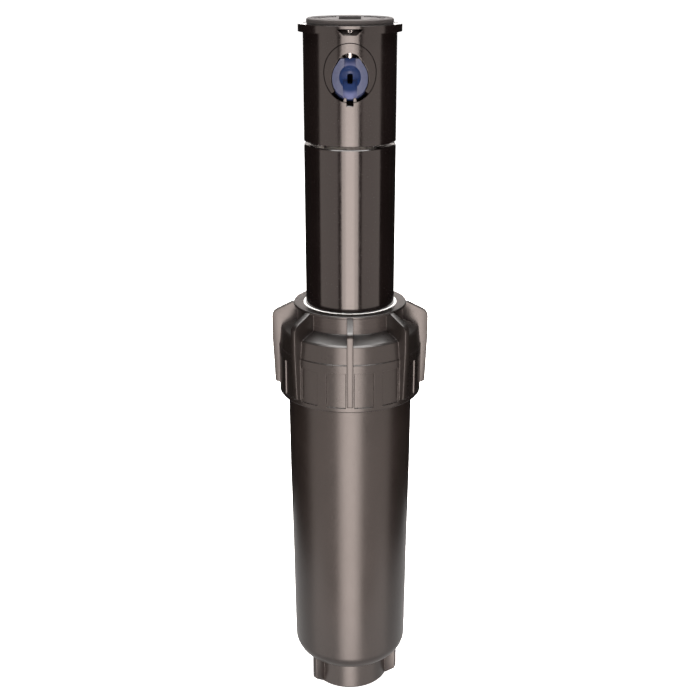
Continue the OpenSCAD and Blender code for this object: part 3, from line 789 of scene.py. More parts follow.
class GeometryTree(Tree):
    """A geometry tree with named inputs, run once as a modifier and turned into a plain mesh."""

    def __init__(self, name: str) -> None:
        """Starts the tree with its geometry in and out.

        Args:
            name: the tree's name.
        """
        super().__init__(bpy.data.node_groups.new(name, "GeometryNodeTree"))
        self.name = name
        self.identifiers: dict[str, str] = {}
        self.tree.interface.new_socket("Geometry", in_out="INPUT", socket_type="NodeSocketGeometry")
        self.tree.interface.new_socket("Geometry", in_out="OUTPUT", socket_type="NodeSocketGeometry")
        self._entry: Made | None = None

    def inputs(self, **kinds: str) -> dict[str, Wire]:
        """Args:
            kinds: the socket type of each name.

        Returns:
            A wire for each name, and one called Geometry.
        """
        for name, kind in kinds.items():
            made = self.tree.interface.new_socket(name, in_out="INPUT", socket_type=kind)
            self.identifiers[name] = made.identifier
        self._entry = self.node("NodeGroupInput")
        return {name: self._entry.out(name) for name in ("Geometry", *kinds)}

    def close(self, geometry: Wire, material: Wire) -> "GeometryTree":
        """Ends the tree in Realize Instances and Set Material.

        Args:
            geometry: what the tree has made.
            material: the material input.

        Returns:
            The tree.
        """
        real = self.node("GeometryNodeRealizeInstances", {}, {0: geometry}).out(0)
        dressed = self.node("GeometryNodeSetMaterial", {}, {"Geometry": real, "Material": material})
        self.node("NodeGroupOutput", {}, {0: dressed.out(0)})
        return self

    def run(self, base: bpy.types.Object, name: str, **values: Any) -> bpy.types.Object:
        """Runs the tree on an object and turns the result into a plain mesh.

        Args:
            base: the object whose geometry goes in, which is removed.
            name: the new object's name.
            values: a value for each named input.

        Returns:
            The new object, with no modifier.
        """
        modifier = base.modifiers.new(self.name, "NODES")
        modifier.node_group = self.tree
        for key, value in values.items():
            modifier[self.identifiers[key]] = value
        bpy.context.view_layer.update()
        graph = bpy.context.evaluated_depsgraph_get()
        mesh = bpy.data.meshes.new_from_object(base.evaluated_get(graph), depsgraph=graph)
        base.modifiers.clear()
        bpy.data.objects.remove(base)
        mesh.name = name
        made = bpy.data.objects.new(name, mesh)
        bpy.context.scene.collection.objects.link(made)
        return made


def ring_tree() -> GeometryTree:
    """Repeats the incoming piece around the Z axis.

    Returns:
        The tree, with the inputs Count, Turn and Material.
    """
    tree = GeometryTree("ring_of_pieces")
    given = tree.inputs(Count="NodeSocketInt", Turn="NodeSocketFloat", Material="NodeSocketMaterial")
    points = tree.node("GeometryNodeMeshCircle", {"fill_type": "NONE"}, {
        "Vertices": given["Count"], "Radius": 0.0})
    index = tree.node("GeometryNodeInputIndex").out(0)
    spin = index * (2 * math.pi) / given["Count"] + given["Turn"]
    angle = tree.node("ShaderNodeCombineXYZ", {}, {0: 0.0, 1: 0.0, 2: spin})
    spread = tree.node("GeometryNodeInstanceOnPoints", {}, {
        "Points": points.out(0), "Instance": given["Geometry"], "Rotation": angle.out(0)})
    return tree.close(spread.out(0), given["Material"])


def coil_tree() -> GeometryTree:
    """Sweeps round wire along a coil with closed turns at both ends.

    Returns:
        The tree, with an input for each size of the coil.
    """
    tree = GeometryTree("wound_coil")
    given = tree.inputs(Radius="NodeSocketFloat", Wire="NodeSocketFloat", Turns="NodeSocketFloat",
                        Low="NodeSocketFloat", High="NodeSocketFloat", Closed="NodeSocketFloat",
                        Steps="NodeSocketInt", Sides="NodeSocketInt", Material="NodeSocketMaterial")
    line = tree.node("GeometryNodeMeshLine", {"mode": "OFFSET"}, {"Count": given["Steps"]})
    curve = tree.node("GeometryNodeMeshToCurve", {}, {0: line.out(0)})
    share = tree.node("GeometryNodeSplineParameter").out("Factor")
    turn = share * given["Turns"] * (2 * math.pi)
    closed = given["Closed"] / given["Turns"]
    rise = tree.node("ShaderNodeMapRange", {}, {0: share, 1: closed, 2: 1 - closed, 3: 0.0, 4: 1.0}).out(0)
    pad = given["Wire"] * given["Closed"]
    ends = tree.node("ShaderNodeMapRange", {}, {0: share, 1: 0.0, 2: closed, 3: 0.0, 4: 1.0}).out(0)
    tops = tree.node("ShaderNodeMapRange", {}, {0: share, 1: 1 - closed, 2: 1.0, 3: 0.0, 4: 1.0}).out(0)
    height = given["Low"] + given["Wire"] / 2 + pad * ends + pad * tops \
        + (given["High"] - given["Low"] - given["Wire"] - pad * 2) * rise
    place = tree.node("ShaderNodeCombineXYZ", {}, {
        0: turn.cosine() * given["Radius"], 1: turn.sine() * given["Radius"], 2: height})
    wound = tree.node("GeometryNodeSetPosition", {}, {"Geometry": curve.out(0), "Position": place.out(0)})
    section = tree.node("GeometryNodeCurvePrimitiveCircle", {}, {
        "Resolution": given["Sides"], "Radius": given["Wire"] / 2})
    swept = tree.node("GeometryNodeCurveToMesh", {}, {
        "Curve": wound.out(0), "Profile Curve": section.out(0), "Fill Caps": True})
    return tree.close(swept.out(0), given["Material"])


# radius of the circle that an outline is swept along, in mm
PATH_R = 1.0


def turning_tree() -> GeometryTree:
    """Turns the incoming outline about the Z axis.

    Returns:
        The tree, with the inputs Segments and Material.
    """
    tree = GeometryTree("turned_body")
    given = tree.inputs(Segments="NodeSocketInt", Material="NodeSocketMaterial")
    outline = tree.node("GeometryNodeMeshToCurve", {}, {0: given["Geometry"]})
    path = tree.node("GeometryNodeCurvePrimitiveCircle", {}, {
        "Resolution": given["Segments"], "Radius": PATH_R * MM})
    upright = tree.node("GeometryNodeSetCurveNormal", {"mode": "Z_UP"}, {0: path.out(0)})
    swept = tree.node("GeometryNodeCurveToMesh", {}, {
        "Curve": upright.out(0), "Profile Curve": outline.out(0), "Fill Caps": False})
    return tree.close(swept.out(0), given["Material"])


@dataclass
class Workshop:
    """The geometry trees that the sub-assemblies share."""

    ring: GeometryTree = field(default_factory=ring_tree)
    coil: GeometryTree = field(default_factory=coil_tree)
    lathe: GeometryTree = field(default_factory=turning_tree)

    def around(self, base: bpy.types.Object, name: str, count: int, turn: float,
               finish: Finish) -> bpy.types.Object:
        """Repeats a piece around the axis.

        Args:
            base: the piece at angle 0.
            name: the new object's name.
            count: how many there are.
            turn: the first one's angle, in degrees.
            finish: what it is made of.

        Returns:
            All of them, as one object.
        """
        made = self.ring.run(base, name, Count=count, Turn=math.radians(turn), Material=finish.material())
        return smooth(made, 40)

    def turned(self, name: str, outline: Sequence[Point2], finish: Finish,
               segments: int = 160) -> bpy.types.Object:
        """Turns a closed outline about the axis with the lathe tree.

        Args:
            name: the object's name.
            outline: points of (radius, height), in mm.
            finish: what it is made of.
            segments: how many flats the circle has.

        Returns:
            A closed shell with its faces outwards.
        """
        mesh = bpy.data.meshes.new(name)
        count = len(outline)
        mesh.from_pydata([((r - PATH_R) * MM, -h * MM, 0.0) for r, h in outline],
                         [(i, (i + 1) % count) for i in range(count)], [])
        base = bpy.data.objects.new(name + "_outline", mesh)
        bpy.context.scene.collection.objects.link(base)
        made = self.lathe.run(base, name, Segments=segments, Material=finish.material())
        return smooth(outwards(made), 32)

    def wound(self, name: str, radius: float, wire: float, turns: float, low: float, high: float,
              finish: Finish, closed: float = 0.0, per_turn: int = 40, sides: int = 10) -> bpy.types.Object:
        """Winds a coil about the axis.

        Args:
            name: the object's name.
            radius: the middle radius, in mm.
            wire: the wire's thickness.
            turns: how many turns it has.
            low: its lowest point.
            high: its highest point.
            finish: what it is made of.
            closed: turns at each end that lie on one another.
            per_turn: points in each turn.
            sides: sides of the wire.

        Returns:
            The coil.
        """
        base = new_object(name + "_seed", [(0, 0, 0)], [])
        made = self.coil.run(base, name, Radius=radius * MM, Wire=wire * MM, Turns=turns, Low=low * MM,
                             High=high * MM, Closed=closed, Steps=int(turns * per_turn) + 1, Sides=sides,
                             Material=finish.material())
        return smooth(outwards(made), 50)


def settle(piece: bpy.types.Object, body: str, finish: Finish, *nodes: str) -> bpy.types.Object:
    """Rides a finished piece on a body.

    Args:
        piece: the piece.
        body: the body's name.
        finish: what it is made of.
        nodes: the CAD nodes that it stands for.

    Returns:
        The piece.
    """
    if not piece.data.materials:
        piece.data.materials.append(finish.material())
    if nodes:
        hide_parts(*nodes)
    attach(piece, body)
    log.info("%s: %d faces on %s", piece.name, len(piece.data.polygons), body)
    return piece


# ---------------------------------------------------------------- case

@dataclass
class Case:
    """The tapered case, with its inlet boss, fins and pipe thread.

    Args:
        shop: the shared trees.
    """

    shop: Workshop
    boss_r: float = 17.3
    thread_root_r: float = 13.0
    thread_crest_r: float = 12.15
    inlet_h: float = 13.3
    floor_t: float = 2.4
    base_r: float = 25.2
    top_r: float = 26.5
    corner_r: float = 8.0
    bore_r: float = 23.05
    neck_r: float = 26.2
    thread_count: int = 4
    cap_thread_pitch: float = 4.2
    fin_r: float = 22.2
    fin_t: float = 2.6
    fin_low: float = 0.9
    fins: int = 3
    fin_angle: float = 103.0
    rib_reach: float = 21.8
    rib_t: float = 2.0
    ribs: int = 4
    rib_angle: float = 45.0
    flats: int = 180
    inlet_thread_t: float = 1.15
    inlet_thread_turns: float = 7.2

    def build(self) -> None:
        """Builds the shell, the fins, the inner ribs and the inlet's thread."""
        self.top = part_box("case_shell")[1].z / MM
        self.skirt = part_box("cap")[0].z / MM
        shell = self.shop.turned("case_shell_skin", self._outline(), CASE, self.flats)
        fins = self.shop.around(self._fin(), "case_fins", self.fins, self.fin_angle, CASE)
        ribs = self.shop.around(self._rib(), "case_ribs", self.ribs, self.rib_angle, CASE)
        settle(joined("case_body", [shell, fins, ribs]), "case", CASE, "case_shell")
        settle(self._thread(), "case", CASE)

    def _outline(self) -> list[Point2]:
        """The case's outline, from the inlet round the outside to the bore.

        Returns:
            Points of (radius, height), in mm.
        """
        base, corner_z = self.base_r, self.inlet_h + self.corner_r
        skirt, top, floor = self.skirt, self.top, self.inlet_h + self.floor_t
        taper = [(0.0, 0.0), (0.18, 0.17), (0.36, 0.33), (0.55, 0.56), (0.73, 0.84), (1.0, 1.0)]
        rise = skirt - 2 - corner_z
        corners: list[tuple[float, ...]] = [
            (self.thread_root_r, 1.2), (self.thread_root_r + 1.1, 0, 0.2), (self.boss_r, 0, 0.8),
            (self.boss_r, 4.0), (self.boss_r, self.inlet_h - 0.1, 1.2)]
        corners += arc_points((base - self.corner_r, corner_z), self.corner_r, -84, 0, 12)[:-1]
        corners += [(base + (self.top_r - base) * s[1], corner_z + rise * s[0]) for s in taper]
        corners += [(self.top_r, skirt + 1.5, 0.3), (self.neck_r, skirt + 2.5, 0.3)]
        for i in reversed(range(self.thread_count)):
            middle = top - 3 - i * self.cap_thread_pitch
            corners += [(self.neck_r, middle - 0.9), (self.neck_r + 1.1, middle - 0.4, 0.15),
                        (self.neck_r + 1.1, middle + 0.4, 0.15), (self.neck_r, middle + 0.9)]
        corners += [(self.neck_r, top, 0.3), (self.bore_r + 0.6, top, 0.3), (self.bore_r, skirt - 2)]
        corners += arc_points((self.bore_r - 5, floor + 5), 5, 0, -90, 8)
        corners += [(self.thread_root_r + 0.6, floor, 0.4), (self.thread_root_r, floor - 0.8)]
        return softened(corners)

    def _fin(self) -> bpy.types.Object:
        """One fin beside the inlet boss, at angle 0.

        Returns:
            The fin.
        """
        inner, outer, top = self.boss_r - 1, self.fin_r, self.inlet_h + 2.2
        outline = [(inner, self.fin_low), (self.boss_r + 0.4, self.fin_low), (outer - 0.4, 3.8), (outer, 4.4),
                   (outer, top), (inner, top)]
        return placed(slab("fin", outline, -self.fin_t / 2, self.fin_t / 2, 0.35), turned_by(90, "X"))

    def _rib(self) -> bpy.types.Object:
        """One upright rib inside the bore, at angle 0.

        Returns:
            The rib.
        """
        low, high = self.inlet_h + self.floor_t + 4, self.top - 1.6
        outline = [(self.rib_reach, low + 1), (self.rib_reach + 2.4, low), (self.rib_reach + 2.4, high),
                   (self.rib_reach + 0.4, high), (self.rib_reach, high - 0.8)]
        return placed(slab("rib", outline, -self.rib_t / 2, self.rib_t / 2, 0.2), turned_by(90, "X"))

    def _thread(self) -> bpy.types.Object:
        """The pipe thread: a ridge wound on the inlet's bore."""
        middle = (self.thread_root_r + self.thread_crest_r) / 2 + 0.15
        return self.shop.wound("inlet_thread", middle, self.inlet_thread_t, self.inlet_thread_turns, 0.9,
                               self.inlet_h + 1.3, CASE, per_turn=64, sides=6)


# ---------------------------------------------------------------- cap

@dataclass
class Cap:
    """The threaded cap: turned neck, panelled skirt and grip ribs.

    Args:
        shop: the shared trees.
    """

    shop: Workshop
    bore_r: float = 19.75
    face_r: float = 23.75
    neck_r: float = 22.35
    skirt_r: float = 30.2
    skirt_bore_r: float = 27.6
    roof_depth: float = 12.6
    grip_r: float = 33.05
    grip_t: float = 2.5
    grips: int = 8
    panel_depth: float = 0.5
    panel_low: float = 2.2
    panel_high: float = 17.2
    panel_gap: float = 3.4
    neck_lines: int = 5

    def build(self) -> None:
        """Builds the turned body with its panels, and the ribs."""
        low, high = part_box("cap")
        self.top, self.low = high.z / MM, low.z / MM
        body = smooth(turned_skin("cap_skin", self._outline(), self._columns(), self._inset), 34)
        body.data.materials.append(CAP.material())
        body.data.materials.append(NECK.material())
        for face in body.data.polygons:
            x, y, z = face.center / MM
            neck = self.top - 8 < z < self.top - 1.3 and math.hypot(x, y) > self.bore_r + 0.5
            face.material_index = int(neck)
        ribs = self.shop.around(self._grip(), "cap_grip_ribs", self.grips, -90, CAP)
        settle(joined("cap_body", [body, ribs]), "case", CAP, "cap")

    def _outline(self) -> list[Point2]:
        """The cap's outline, from the bore over the face and down the skirt.

        Returns:
            Points of (radius, height), in mm.
        """
        top, low, skirt = self.top, self.low, self.skirt_r
        corners: list[tuple[float, ...]] = [
            (self.bore_r, top, 0.15), (self.face_r, top, 0.35), (self.face_r, top - 1.0, 0.2),
            (self.neck_r, top - 1.5, 0.15)]
        for i in range(self.neck_lines):
            line = top - 2.4 - i * 1.15
            corners += [(self.neck_r, line + 0.1), (self.neck_r - 0.02, line), (self.neck_r, line - 0.1)]
        corners += [
            (self.neck_r, top - 8.0, 0.5), (skirt - 1.7, top - 10.6, 0.35), (skirt - 1.0, top - 11.3, 0.3),
            (skirt - 0.35, top - 18.35, 0.1), (skirt, top - 18.75, 0.15)]
        for edge in (low + self.panel_high, low + self.panel_low):
            corners += [(skirt, edge + 0.35), (skirt, edge + 0.1), (skirt, edge - 0.1), (skirt, edge - 0.35)]
        corners += [
            (skirt, low + 0.4, 0.5), (skirt - 0.8, low, 0.4), (self.skirt_bore_r + 0.5, low, 0.2),
            (self.skirt_bore_r, low + 1), (self.skirt_bore_r, top - self.roof_depth, 0.3),
            (self.bore_r, top - self.roof_depth, 0.2)]
        return softened(corners)

    def _edges(self) -> list[tuple[float, float]]:
        """The two panels between neighbouring ribs, as angles from a rib."""
        step = 360 / self.grips
        return [(self.panel_gap, step / 2 - 3.8), (step / 2 + 3.8, step - self.panel_gap)]

    def _columns(self) -> list[float]:
        """Angles of the columns, with close pairs at the panels' edges.

        Returns:
            The angles in order, in degrees.
        """
        step = 360 / self.grips
        angles = set()
        for i in range(self.grips):
            start = i * step - 90
            angles |= {round(start + k * step / 20, 4) for k in range(20)}
            for left, right in self._edges():
                for edge in (left, right):
                    angles |= {round(start + edge + shift, 4) for shift in (-0.5, -0.15, 0.15, 0.5)}
        ordered = sorted(a % 360 for a in angles)
        return [a for i, a in enumerate(ordered) if a - ordered[i - 1] > 0.12 or i == 0]

    def _inset(self, angle: float, radius: float, height: float) -> float:
        """Depth of the panels at a point of the skirt.

        Args:
            angle: the point's angle, in degrees.
            radius: its radius.
            height: its height.

        Returns:
            The depth there, in mm.
        """
        if radius < self.skirt_r - 0.01:
            return 0.0
        inside = self.low + self.panel_low + 0.01 < height < self.low + self.panel_high - 0.01
        part = (angle + 90) % (360 / self.grips)
        across = any(left < part < right for left, right in self._edges())
        return self.panel_depth if inside and across else 0.0

    def _grip(self) -> bpy.types.Object:
        """One grip rib at angle 0, sloped from the face and rounded over.

        Returns:
            The rib.
        """
        top, rounding = self.top, 3.6
        outline = [(self.neck_r - 1, top - 9), (self.neck_r - 1, top - 0.45), (self.face_r + 0.8, top - 0.45)]
        outline += arc_points((self.grip_r - rounding, top - 7), rounding, 62, 0, 7)
        outline += [(self.grip_r, top - 16.3), (self.grip_r - 0.85, self.low + 3.4),
                    (self.skirt_r - 0.5, self.low + 2.4), (self.skirt_r - 2.1, self.low + 2.4),
                    (self.skirt_r - 2.1, top - 12), (self.skirt_r - 2.5, top - 12)]
        return placed(slab("grip", outline, -self.grip_t / 2, self.grip_t / 2, 0.32), turned_by(90, "X"))


# ---------------------------------------------------------------- spring

@dataclass
class RetractSpring:
    """The spring that pulls the riser down: it stays in the case as the riser moves.

    Args:
        shop: the shared trees.
    """

    shop: Workshop
    radius: float = 20.425
    wire: float = 1.7
    turns: float = 9.0

    def build(self) -> None:
        """Winds the spring between case and riser, where the CAD spring lies, and hides the CAD spring."""
        low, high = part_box("retract_spring")
        piece = self.shop.wound("retract_coil", self.radius, self.wire, self.turns, low.z / MM, high.z / MM,
                                SPRING, per_turn=44, sides=12)
        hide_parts("retract_spring")
        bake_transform(piece)
        log.info("%s: %d faces between case and riser", piece.name, len(piece.data.polygons))


# ---------------------------------------------------------------- turret

# turns an outline in X and Y, extruded along Z, to stand across X and be extruded along it
UPRIGHT = Matrix(((0, 0, 1, 0), (1, 0, 0, 0), (0, 1, 0, 0), (0, 0, 0, 1)))


@dataclass
class Turret:
    """The turret's shell and nozzle, the marks and teeth of its cover, and the radius screw's thread.

    Args:
        shop: the shared trees.
    """

    shop: Workshop
    skin_r: float = 18.5
    inner_skins: tuple[float, ...] = (17.3, 20.4)
    flange_h: float = 2.9
    clear: float = 3.0
    recess_r: float = 5.4
    recess_depth: float = 4.2
    recess_up: float = 3.5
    notch_half: tuple[float, float] = (2.3, 4.95)
    notch_back: tuple[float, float] = (17.1, 15.7)
    notch_up: tuple[float, float] = (-0.5, 1.75)
    pry_half: float = 1.35
    pry_depth: float = 4.0
    pry_span: tuple[float, float] = (-10.9, -7.0)
    slot_inner: float = 6.9
    slot_outer: float = 8.7
    slot_depth: float = 8.0
    slot_span: tuple[float, float] = (18.0, 55.0)
    witness_r: float = 10.0
    witness_up: float = 1.5
    groove: float = 0.17
    groove_sink: float = 0.03
    nozzle_tilt: float = 25.0
    nozzle_drop: float = 15.9
    nozzle_r: float = 6.85
    nozzle_l: float = 15.0
    nozzle_sink: float = 0.05
    crown_r: float = 4.95
    crown_up: float = 3.35
    crown_top: float = 6.9
    bowl_r: float = 4.6
    bowl_depth: float = 2.7
    channel_w: float = 4.3
    channel_depth: float = 1.3
    channel_lean: float = 2.6
    drain_w: float = 5.5
    drain_end: float = -9.4
    orifice_half: tuple[float, float] = (1.05, 1.7)
    orifice_corner: float = 0.6
    block_h: float = 0.8
    mark_at: float = 9.2
    mark_half: tuple[float, float] = (1.7, 0.42)
    mark_h: float = 0.33
    mark_sink: float = 0.25
    sweeps: tuple[float, ...] = (13.9, 12.3)
    sweep_w: float = 0.75
    sweep_span: tuple[float, float] = (118.0, 176.0)
    ticks: int = 8
    tick_inner: float = 11.6
    tick_outer: tuple[float, float] = (13.2, 14.0)
    tick_step: float = 8.0
    teeth: int = 156
    tooth_half: float = 0.17
    tooth_h: float = 0.16
    screw_at: float = 14.5
    screw_r: float = 1.3
    screw_thread_l: float = 11.0

    def build(self) -> None:
        """Builds the turret's pieces and the screw's thread."""
        _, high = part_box("turret_shell")
        self.flange_z = high.z / MM - self.flange_h
        self.nozzle_z = self.flange_z - self.nozzle_drop
        settle(self._shell(), "turret", TURRET, "turret_shell")
        settle(self._nozzle(), "turret", NOZZLE, "nozzle")
        settle(self._marks(), "turret", RUBBER)
        settle(self._serration(), "turret", RUBBER)
        settle(self._screw(), "adjusting_screw", SCREW)

    def _on_skin(self) -> Matrix:
        """Frame on the turret's skin at the nozzle: X runs level and outwards."""
        return turned_by(-90) @ Matrix.Translation((self.skin_r * MM, 0, self.nozzle_z * MM))

    def _along_stream(self) -> Matrix:
        """Frame of the nozzle: X runs along the stream from the turret's skin."""
        return self._on_skin() @ turned_by(-self.nozzle_tilt, "Y")

    def _shell(self) -> bpy.types.Object:
        """Carves the recess, the leaning mark, the slots and the thin line into a merged copy of the shell.

        Returns:
            The shell.
        """
        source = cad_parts["turret_shell"]
        made = bpy.data.objects.new("turret_body", source.data.copy())
        bpy.context.scene.collection.objects.link(made)
        made.data.materials.clear()
        made.data.materials.append(TURRET.material())
        work = bmesh.new()
        work.from_mesh(made.data)
        bmesh.ops.remove_doubles(work, verts=work.verts, dist=1e-6)
        work.to_mesh(made.data)
        work.free()
        recess = rod("recess", self.recess_r, -self.recess_depth, self.clear, 64)
        placed(recess, self._on_skin() @ Matrix.Translation((0, 0, self.recess_up * MM)))
        low, high = self.pry_span
        pry = block("pry", (-self.pry_depth, -self.pry_half, low), (self.clear, self.pry_half, high))
        placed(pry, self._on_skin())
        slots = [self._slot(side) for side in (-1, 1)]
        carved(made, difference=[recess, self._notch(), pry, *slots, self._witness()])
        return skin_normals(made, (self.skin_r, *self.inner_skins))

    def _notch(self) -> bpy.types.Object:
        """The cutter of the leaning mark in the flange, wider and deeper towards the cover.

        Returns:
            The cutter.
        """
        front = -self.skin_r - 4
        corners_at = []
        for half, back, up in zip(self.notch_half, self.notch_back, self.notch_up):
            corners_at += [(x * half, y, self.flange_z + up)
                           for x, y in ((-1, front), (1, front), (1, -back), (-1, -back))]
        faces = [(0, 1, 2, 3), (4, 7, 6, 5), (0, 4, 5, 1), (1, 5, 6, 2), (2, 6, 7, 3), (3, 7, 4, 0)]
        return outwards(new_object("notch", corners_at, faces))

    def _slot(self, side: int) -> bpy.types.Object:
        """The cutter of one curved slot below the nozzle.

        Args:
            side: -1 for one side and 1 for the other.

        Returns:
            The cutter.
        """
        start, end = (-90 + side * turn for turn in self.slot_span)
        sector = arc_points((0, 0), self.slot_outer, start, end, 12)
        sector += arc_points((0, 0), self.slot_inner, end, start, 12)
        cutter = slab("slot", sector, -self.slot_depth, self.clear, 0)
        return placed(cutter, self._along_stream() @ UPRIGHT)

    def _witness(self) -> bpy.types.Object:
        """The ring that cuts the thin line around the nozzle into the turret's skin.

        Returns:
            The ring, with no corner exactly on the skin.
        """
        around, sides = 120, 6
        lean_up = math.cos(math.radians(self.nozzle_tilt))
        vertices = []
        for i in range(around):
            turn = 2 * math.pi * i / around
            across, up = self.witness_r * math.cos(turn), self.witness_r * math.sin(turn) / lean_up
            for k in range(sides):
                lean = 2 * math.pi * k / sides
                wide = 1 + self.groove * math.cos(lean) / self.witness_r
                out = self.skin_r - self.groove_sink + self.groove * math.sin(lean)
                x, z = across * wide, self.nozzle_z + self.witness_up + up * wide
                vertices.append((x, -math.sqrt(out * out - x * x), z))
        faces = []
        for i in range(around):
            here, after = i * sides, (i + 1) % around * sides
            faces += [(here + k, after + k, after + (k + 1) % sides, here + (k + 1) % sides)
                      for k in range(sides)]
        return outwards(new_object("witness", vertices, faces))

    def _nozzle(self) -> bpy.types.Object:
        """The nozzle: two ears flush with the skin, a bowl with the orifice, and channels above and below.

        Returns:
            The nozzle.
        """
        on_skin, flush_r = self._on_skin(), self.skin_r - self.nozzle_sink
        body = placed(rod("nozzle_body", self.nozzle_r, -self.nozzle_l, 8, 128), self._along_stream())
        crown = rod("crown", self.crown_r, -7, self.clear, 96)
        placed(crown, on_skin @ Matrix.Translation((0, 0, self.crown_up * MM)))
        skin = rod("skin", flush_r, self.nozzle_z - 30, self.nozzle_z + 30, 240)
        placed(skin, turned_by(-90, "Y"))
        ball, far = self._ball("bowl"), 2 * self.clear
        half, depth = self.channel_w / 2, self.channel_depth
        floor = [(-depth, 1.5), (far, 1.5), (far, 14), (-depth - self.channel_lean, 14)]
        upper = placed(slab("upper", floor, -half, half, 0), turned_by(90, "X"))
        floor = [(-3.4, -1.0), (-1.0, self.drain_end), (far, self.drain_end), (far, -1.0)]
        lower = placed(slab("lower", floor, -self.drain_w / 2, self.drain_w / 2, 0), turned_by(90, "X"))
        orifice = slab("orifice", self._rounded(*self.orifice_half, self.orifice_corner), -9, 2.2, 0)
        stream = Matrix.Translation((-2.4 * MM, 0, -0.6 * MM)) @ turned_by(-self.nozzle_tilt, "Y")
        placed(orifice, stream @ UPRIGHT)
        above = block("above", (-9, -9, self.crown_top), (far, 9, 16))
        for piece in (ball, upper, lower, orifice, above):
            placed(piece, on_skin)
        carved(body, union=[crown], intersect=[skin], difference=[above, ball, upper, lower, orifice])
        return skin_normals(body, (flush_r,))

    def _ball(self, name: str) -> bpy.types.Object:
        """The ball that hollows the bowl, before it is placed on the skin.

        Args:
            name: its name.

        Returns:
            The ball.
        """
        radius = (self.bowl_r ** 2 + self.bowl_depth ** 2) / (2 * self.bowl_depth)
        work = bmesh.new()
        bmesh.ops.create_uvsphere(work, u_segments=72, v_segments=40, radius=radius * MM)
        mesh = bpy.data.meshes.new(name)
        work.to_mesh(mesh)
        work.free()
        made = bpy.data.objects.new(name, mesh)
        bpy.context.scene.collection.objects.link(made)
        middle = Matrix.Translation(((radius - self.bowl_depth) * MM, 0, 0))
        return placed(made, middle @ turned_by(90, "Y"))

    @staticmethod
    def _rounded(half_w: float, half_h: float, corner: float) -> list[Point2]:
        """Outline of a rectangle with round corners.

        Args:
            half_w: half its width.
            half_h: half its height.
            corner: the radius of its corners.

        Returns:
            The outline's points.
        """
        outline: list[Point2] = []
        for x, y, start in ((1, 1, 0), (-1, 1, 90), (-1, -1, 180), (1, -1, 270)):
            middle = (x * (half_w - corner), y * (half_h - corner))
            outline += arc_points(middle, corner, start, start + 90, 5)
        return outline

    def _marks(self) -> bpy.types.Object:
        """Raised marks on the cover: a minus, a plus, two sweeps and a scale of short bars.

        Returns:
            All the marks, as one object.
        """
        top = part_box("turret_cover")[1].z / MM - self.block_h - 0.4
        low, high = top - self.mark_sink, top + self.mark_h
        at, (long, short) = self.mark_at, self.mark_half
        pieces = []
        for x, wide, tall in ((-at, long, short), (at, long, short), (at, short, long)):
            outline = [(x - wide, -at - tall), (x + wide, -at - tall), (x + wide, -at + tall),
                       (x - wide, -at + tall)]
            pieces.append(slab("bar", outline, low, high, 0.12))
        start, end = self.sweep_span
        for radius in self.sweeps:
            sweep = arc_points((0, 0), radius, start, end, 14)
            sweep += arc_points((0, 0), radius - self.sweep_w, end, start, 14)
            pieces.append(slab("sweep", sweep, low, high, 0.1))
        for i in range(self.ticks):
            inner, outer = self.tick_inner, self.tick_outer[i % 2]
            outline = [(inner, -0.3), (outer, -0.3), (outer, 0.3), (inner, 0.3)]
            turn = turned_by(self.tick_step * (i + 0.5))
            pieces.append(placed(slab("tick", outline, low, high, 0.1), turn))
        return joined("cover_marks", pieces)

    def _serration(self) -> bpy.types.Object:
        """The fine teeth around the cover's wall.

        Returns:
            All the teeth, as one object.
        """
        _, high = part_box("turret_cover")
        reach, low = high.y / MM, self.flange_z + self.flange_h + 0.45
        top = high.z / MM - self.block_h - 0.5
        half = self.tooth_half
        tooth = block("tooth", (reach - 0.2, -half, low), (reach + self.tooth_h, half, top))
        return self.shop.around(tooth, "cover_serration", self.teeth, 0, RUBBER)

    def _screw(self) -> bpy.types.Object:
        """The thread of the radius screw, wound on its shank.

        Returns:
            The thread.
        """
        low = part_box("radius_screw")[0].z / MM
        made = self.shop.wound("radius_screw_thread", self.screw_r - 0.13, 0.34, 17, low + 1.3,
                               low + self.screw_thread_l, SCREW, per_turn=20, sides=6)
        return placed(made, Matrix.Translation((0, -self.screw_at * MM, 0)))


# ---------------------------------------------------------------- carried-over nodes

NODE_FINISH: dict[str, Finish] = {
    "wiper_seal": SEAL, "glide_ring": WHITE, "riser_tube": RISER, "guide_ring": INNER, "inlet_screen": INNER,
    "stator": INNER, "bypass_cage": INNER, "bypass_spring": SPRING, "bypass_poppet": POPPET,
    "gearbox_base": INNER, "gearbox_can": INNER, "gearbox_lid": INNER, "gear_axles": AXLE,
    "thrust_washer": WHITE, "shaft_seal": SEAL, "trip_rod": AXLE, "trip_lever": INNER,
    "reversing_plate": INNER, "toggle_spring": SPRING, "turbine_wheel": INNER, "turbine_shaft": AXLE,
    "turbine_pinion": GEAR, "drive_gear": GEAR, "clutch_plate": INNER, "turret_cover": RUBBER,
    "flow_tube": INNER, "retaining_clip": SPRING, "clutch_ring": SEAL, "radius_screw": SCREW,
    "arc_shaft": INNER, "arc_ring": WHITE,
}


def dress_nodes() -> None:
    """Gives each CAD node that stays its finish."""
    for name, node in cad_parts.items():
        finish = NODE_FINISH.get(name, GEAR if name.startswith("gear_cluster") else None)
        if finish is None:
            continue
        for i in range(max(1, len(node.material_slots))):
            if len(node.material_slots) <= i:
                node.data.materials.append(finish.material())
            node.material_slots[i].material = finish.material()


# ---------------------------------------------------------------- studio

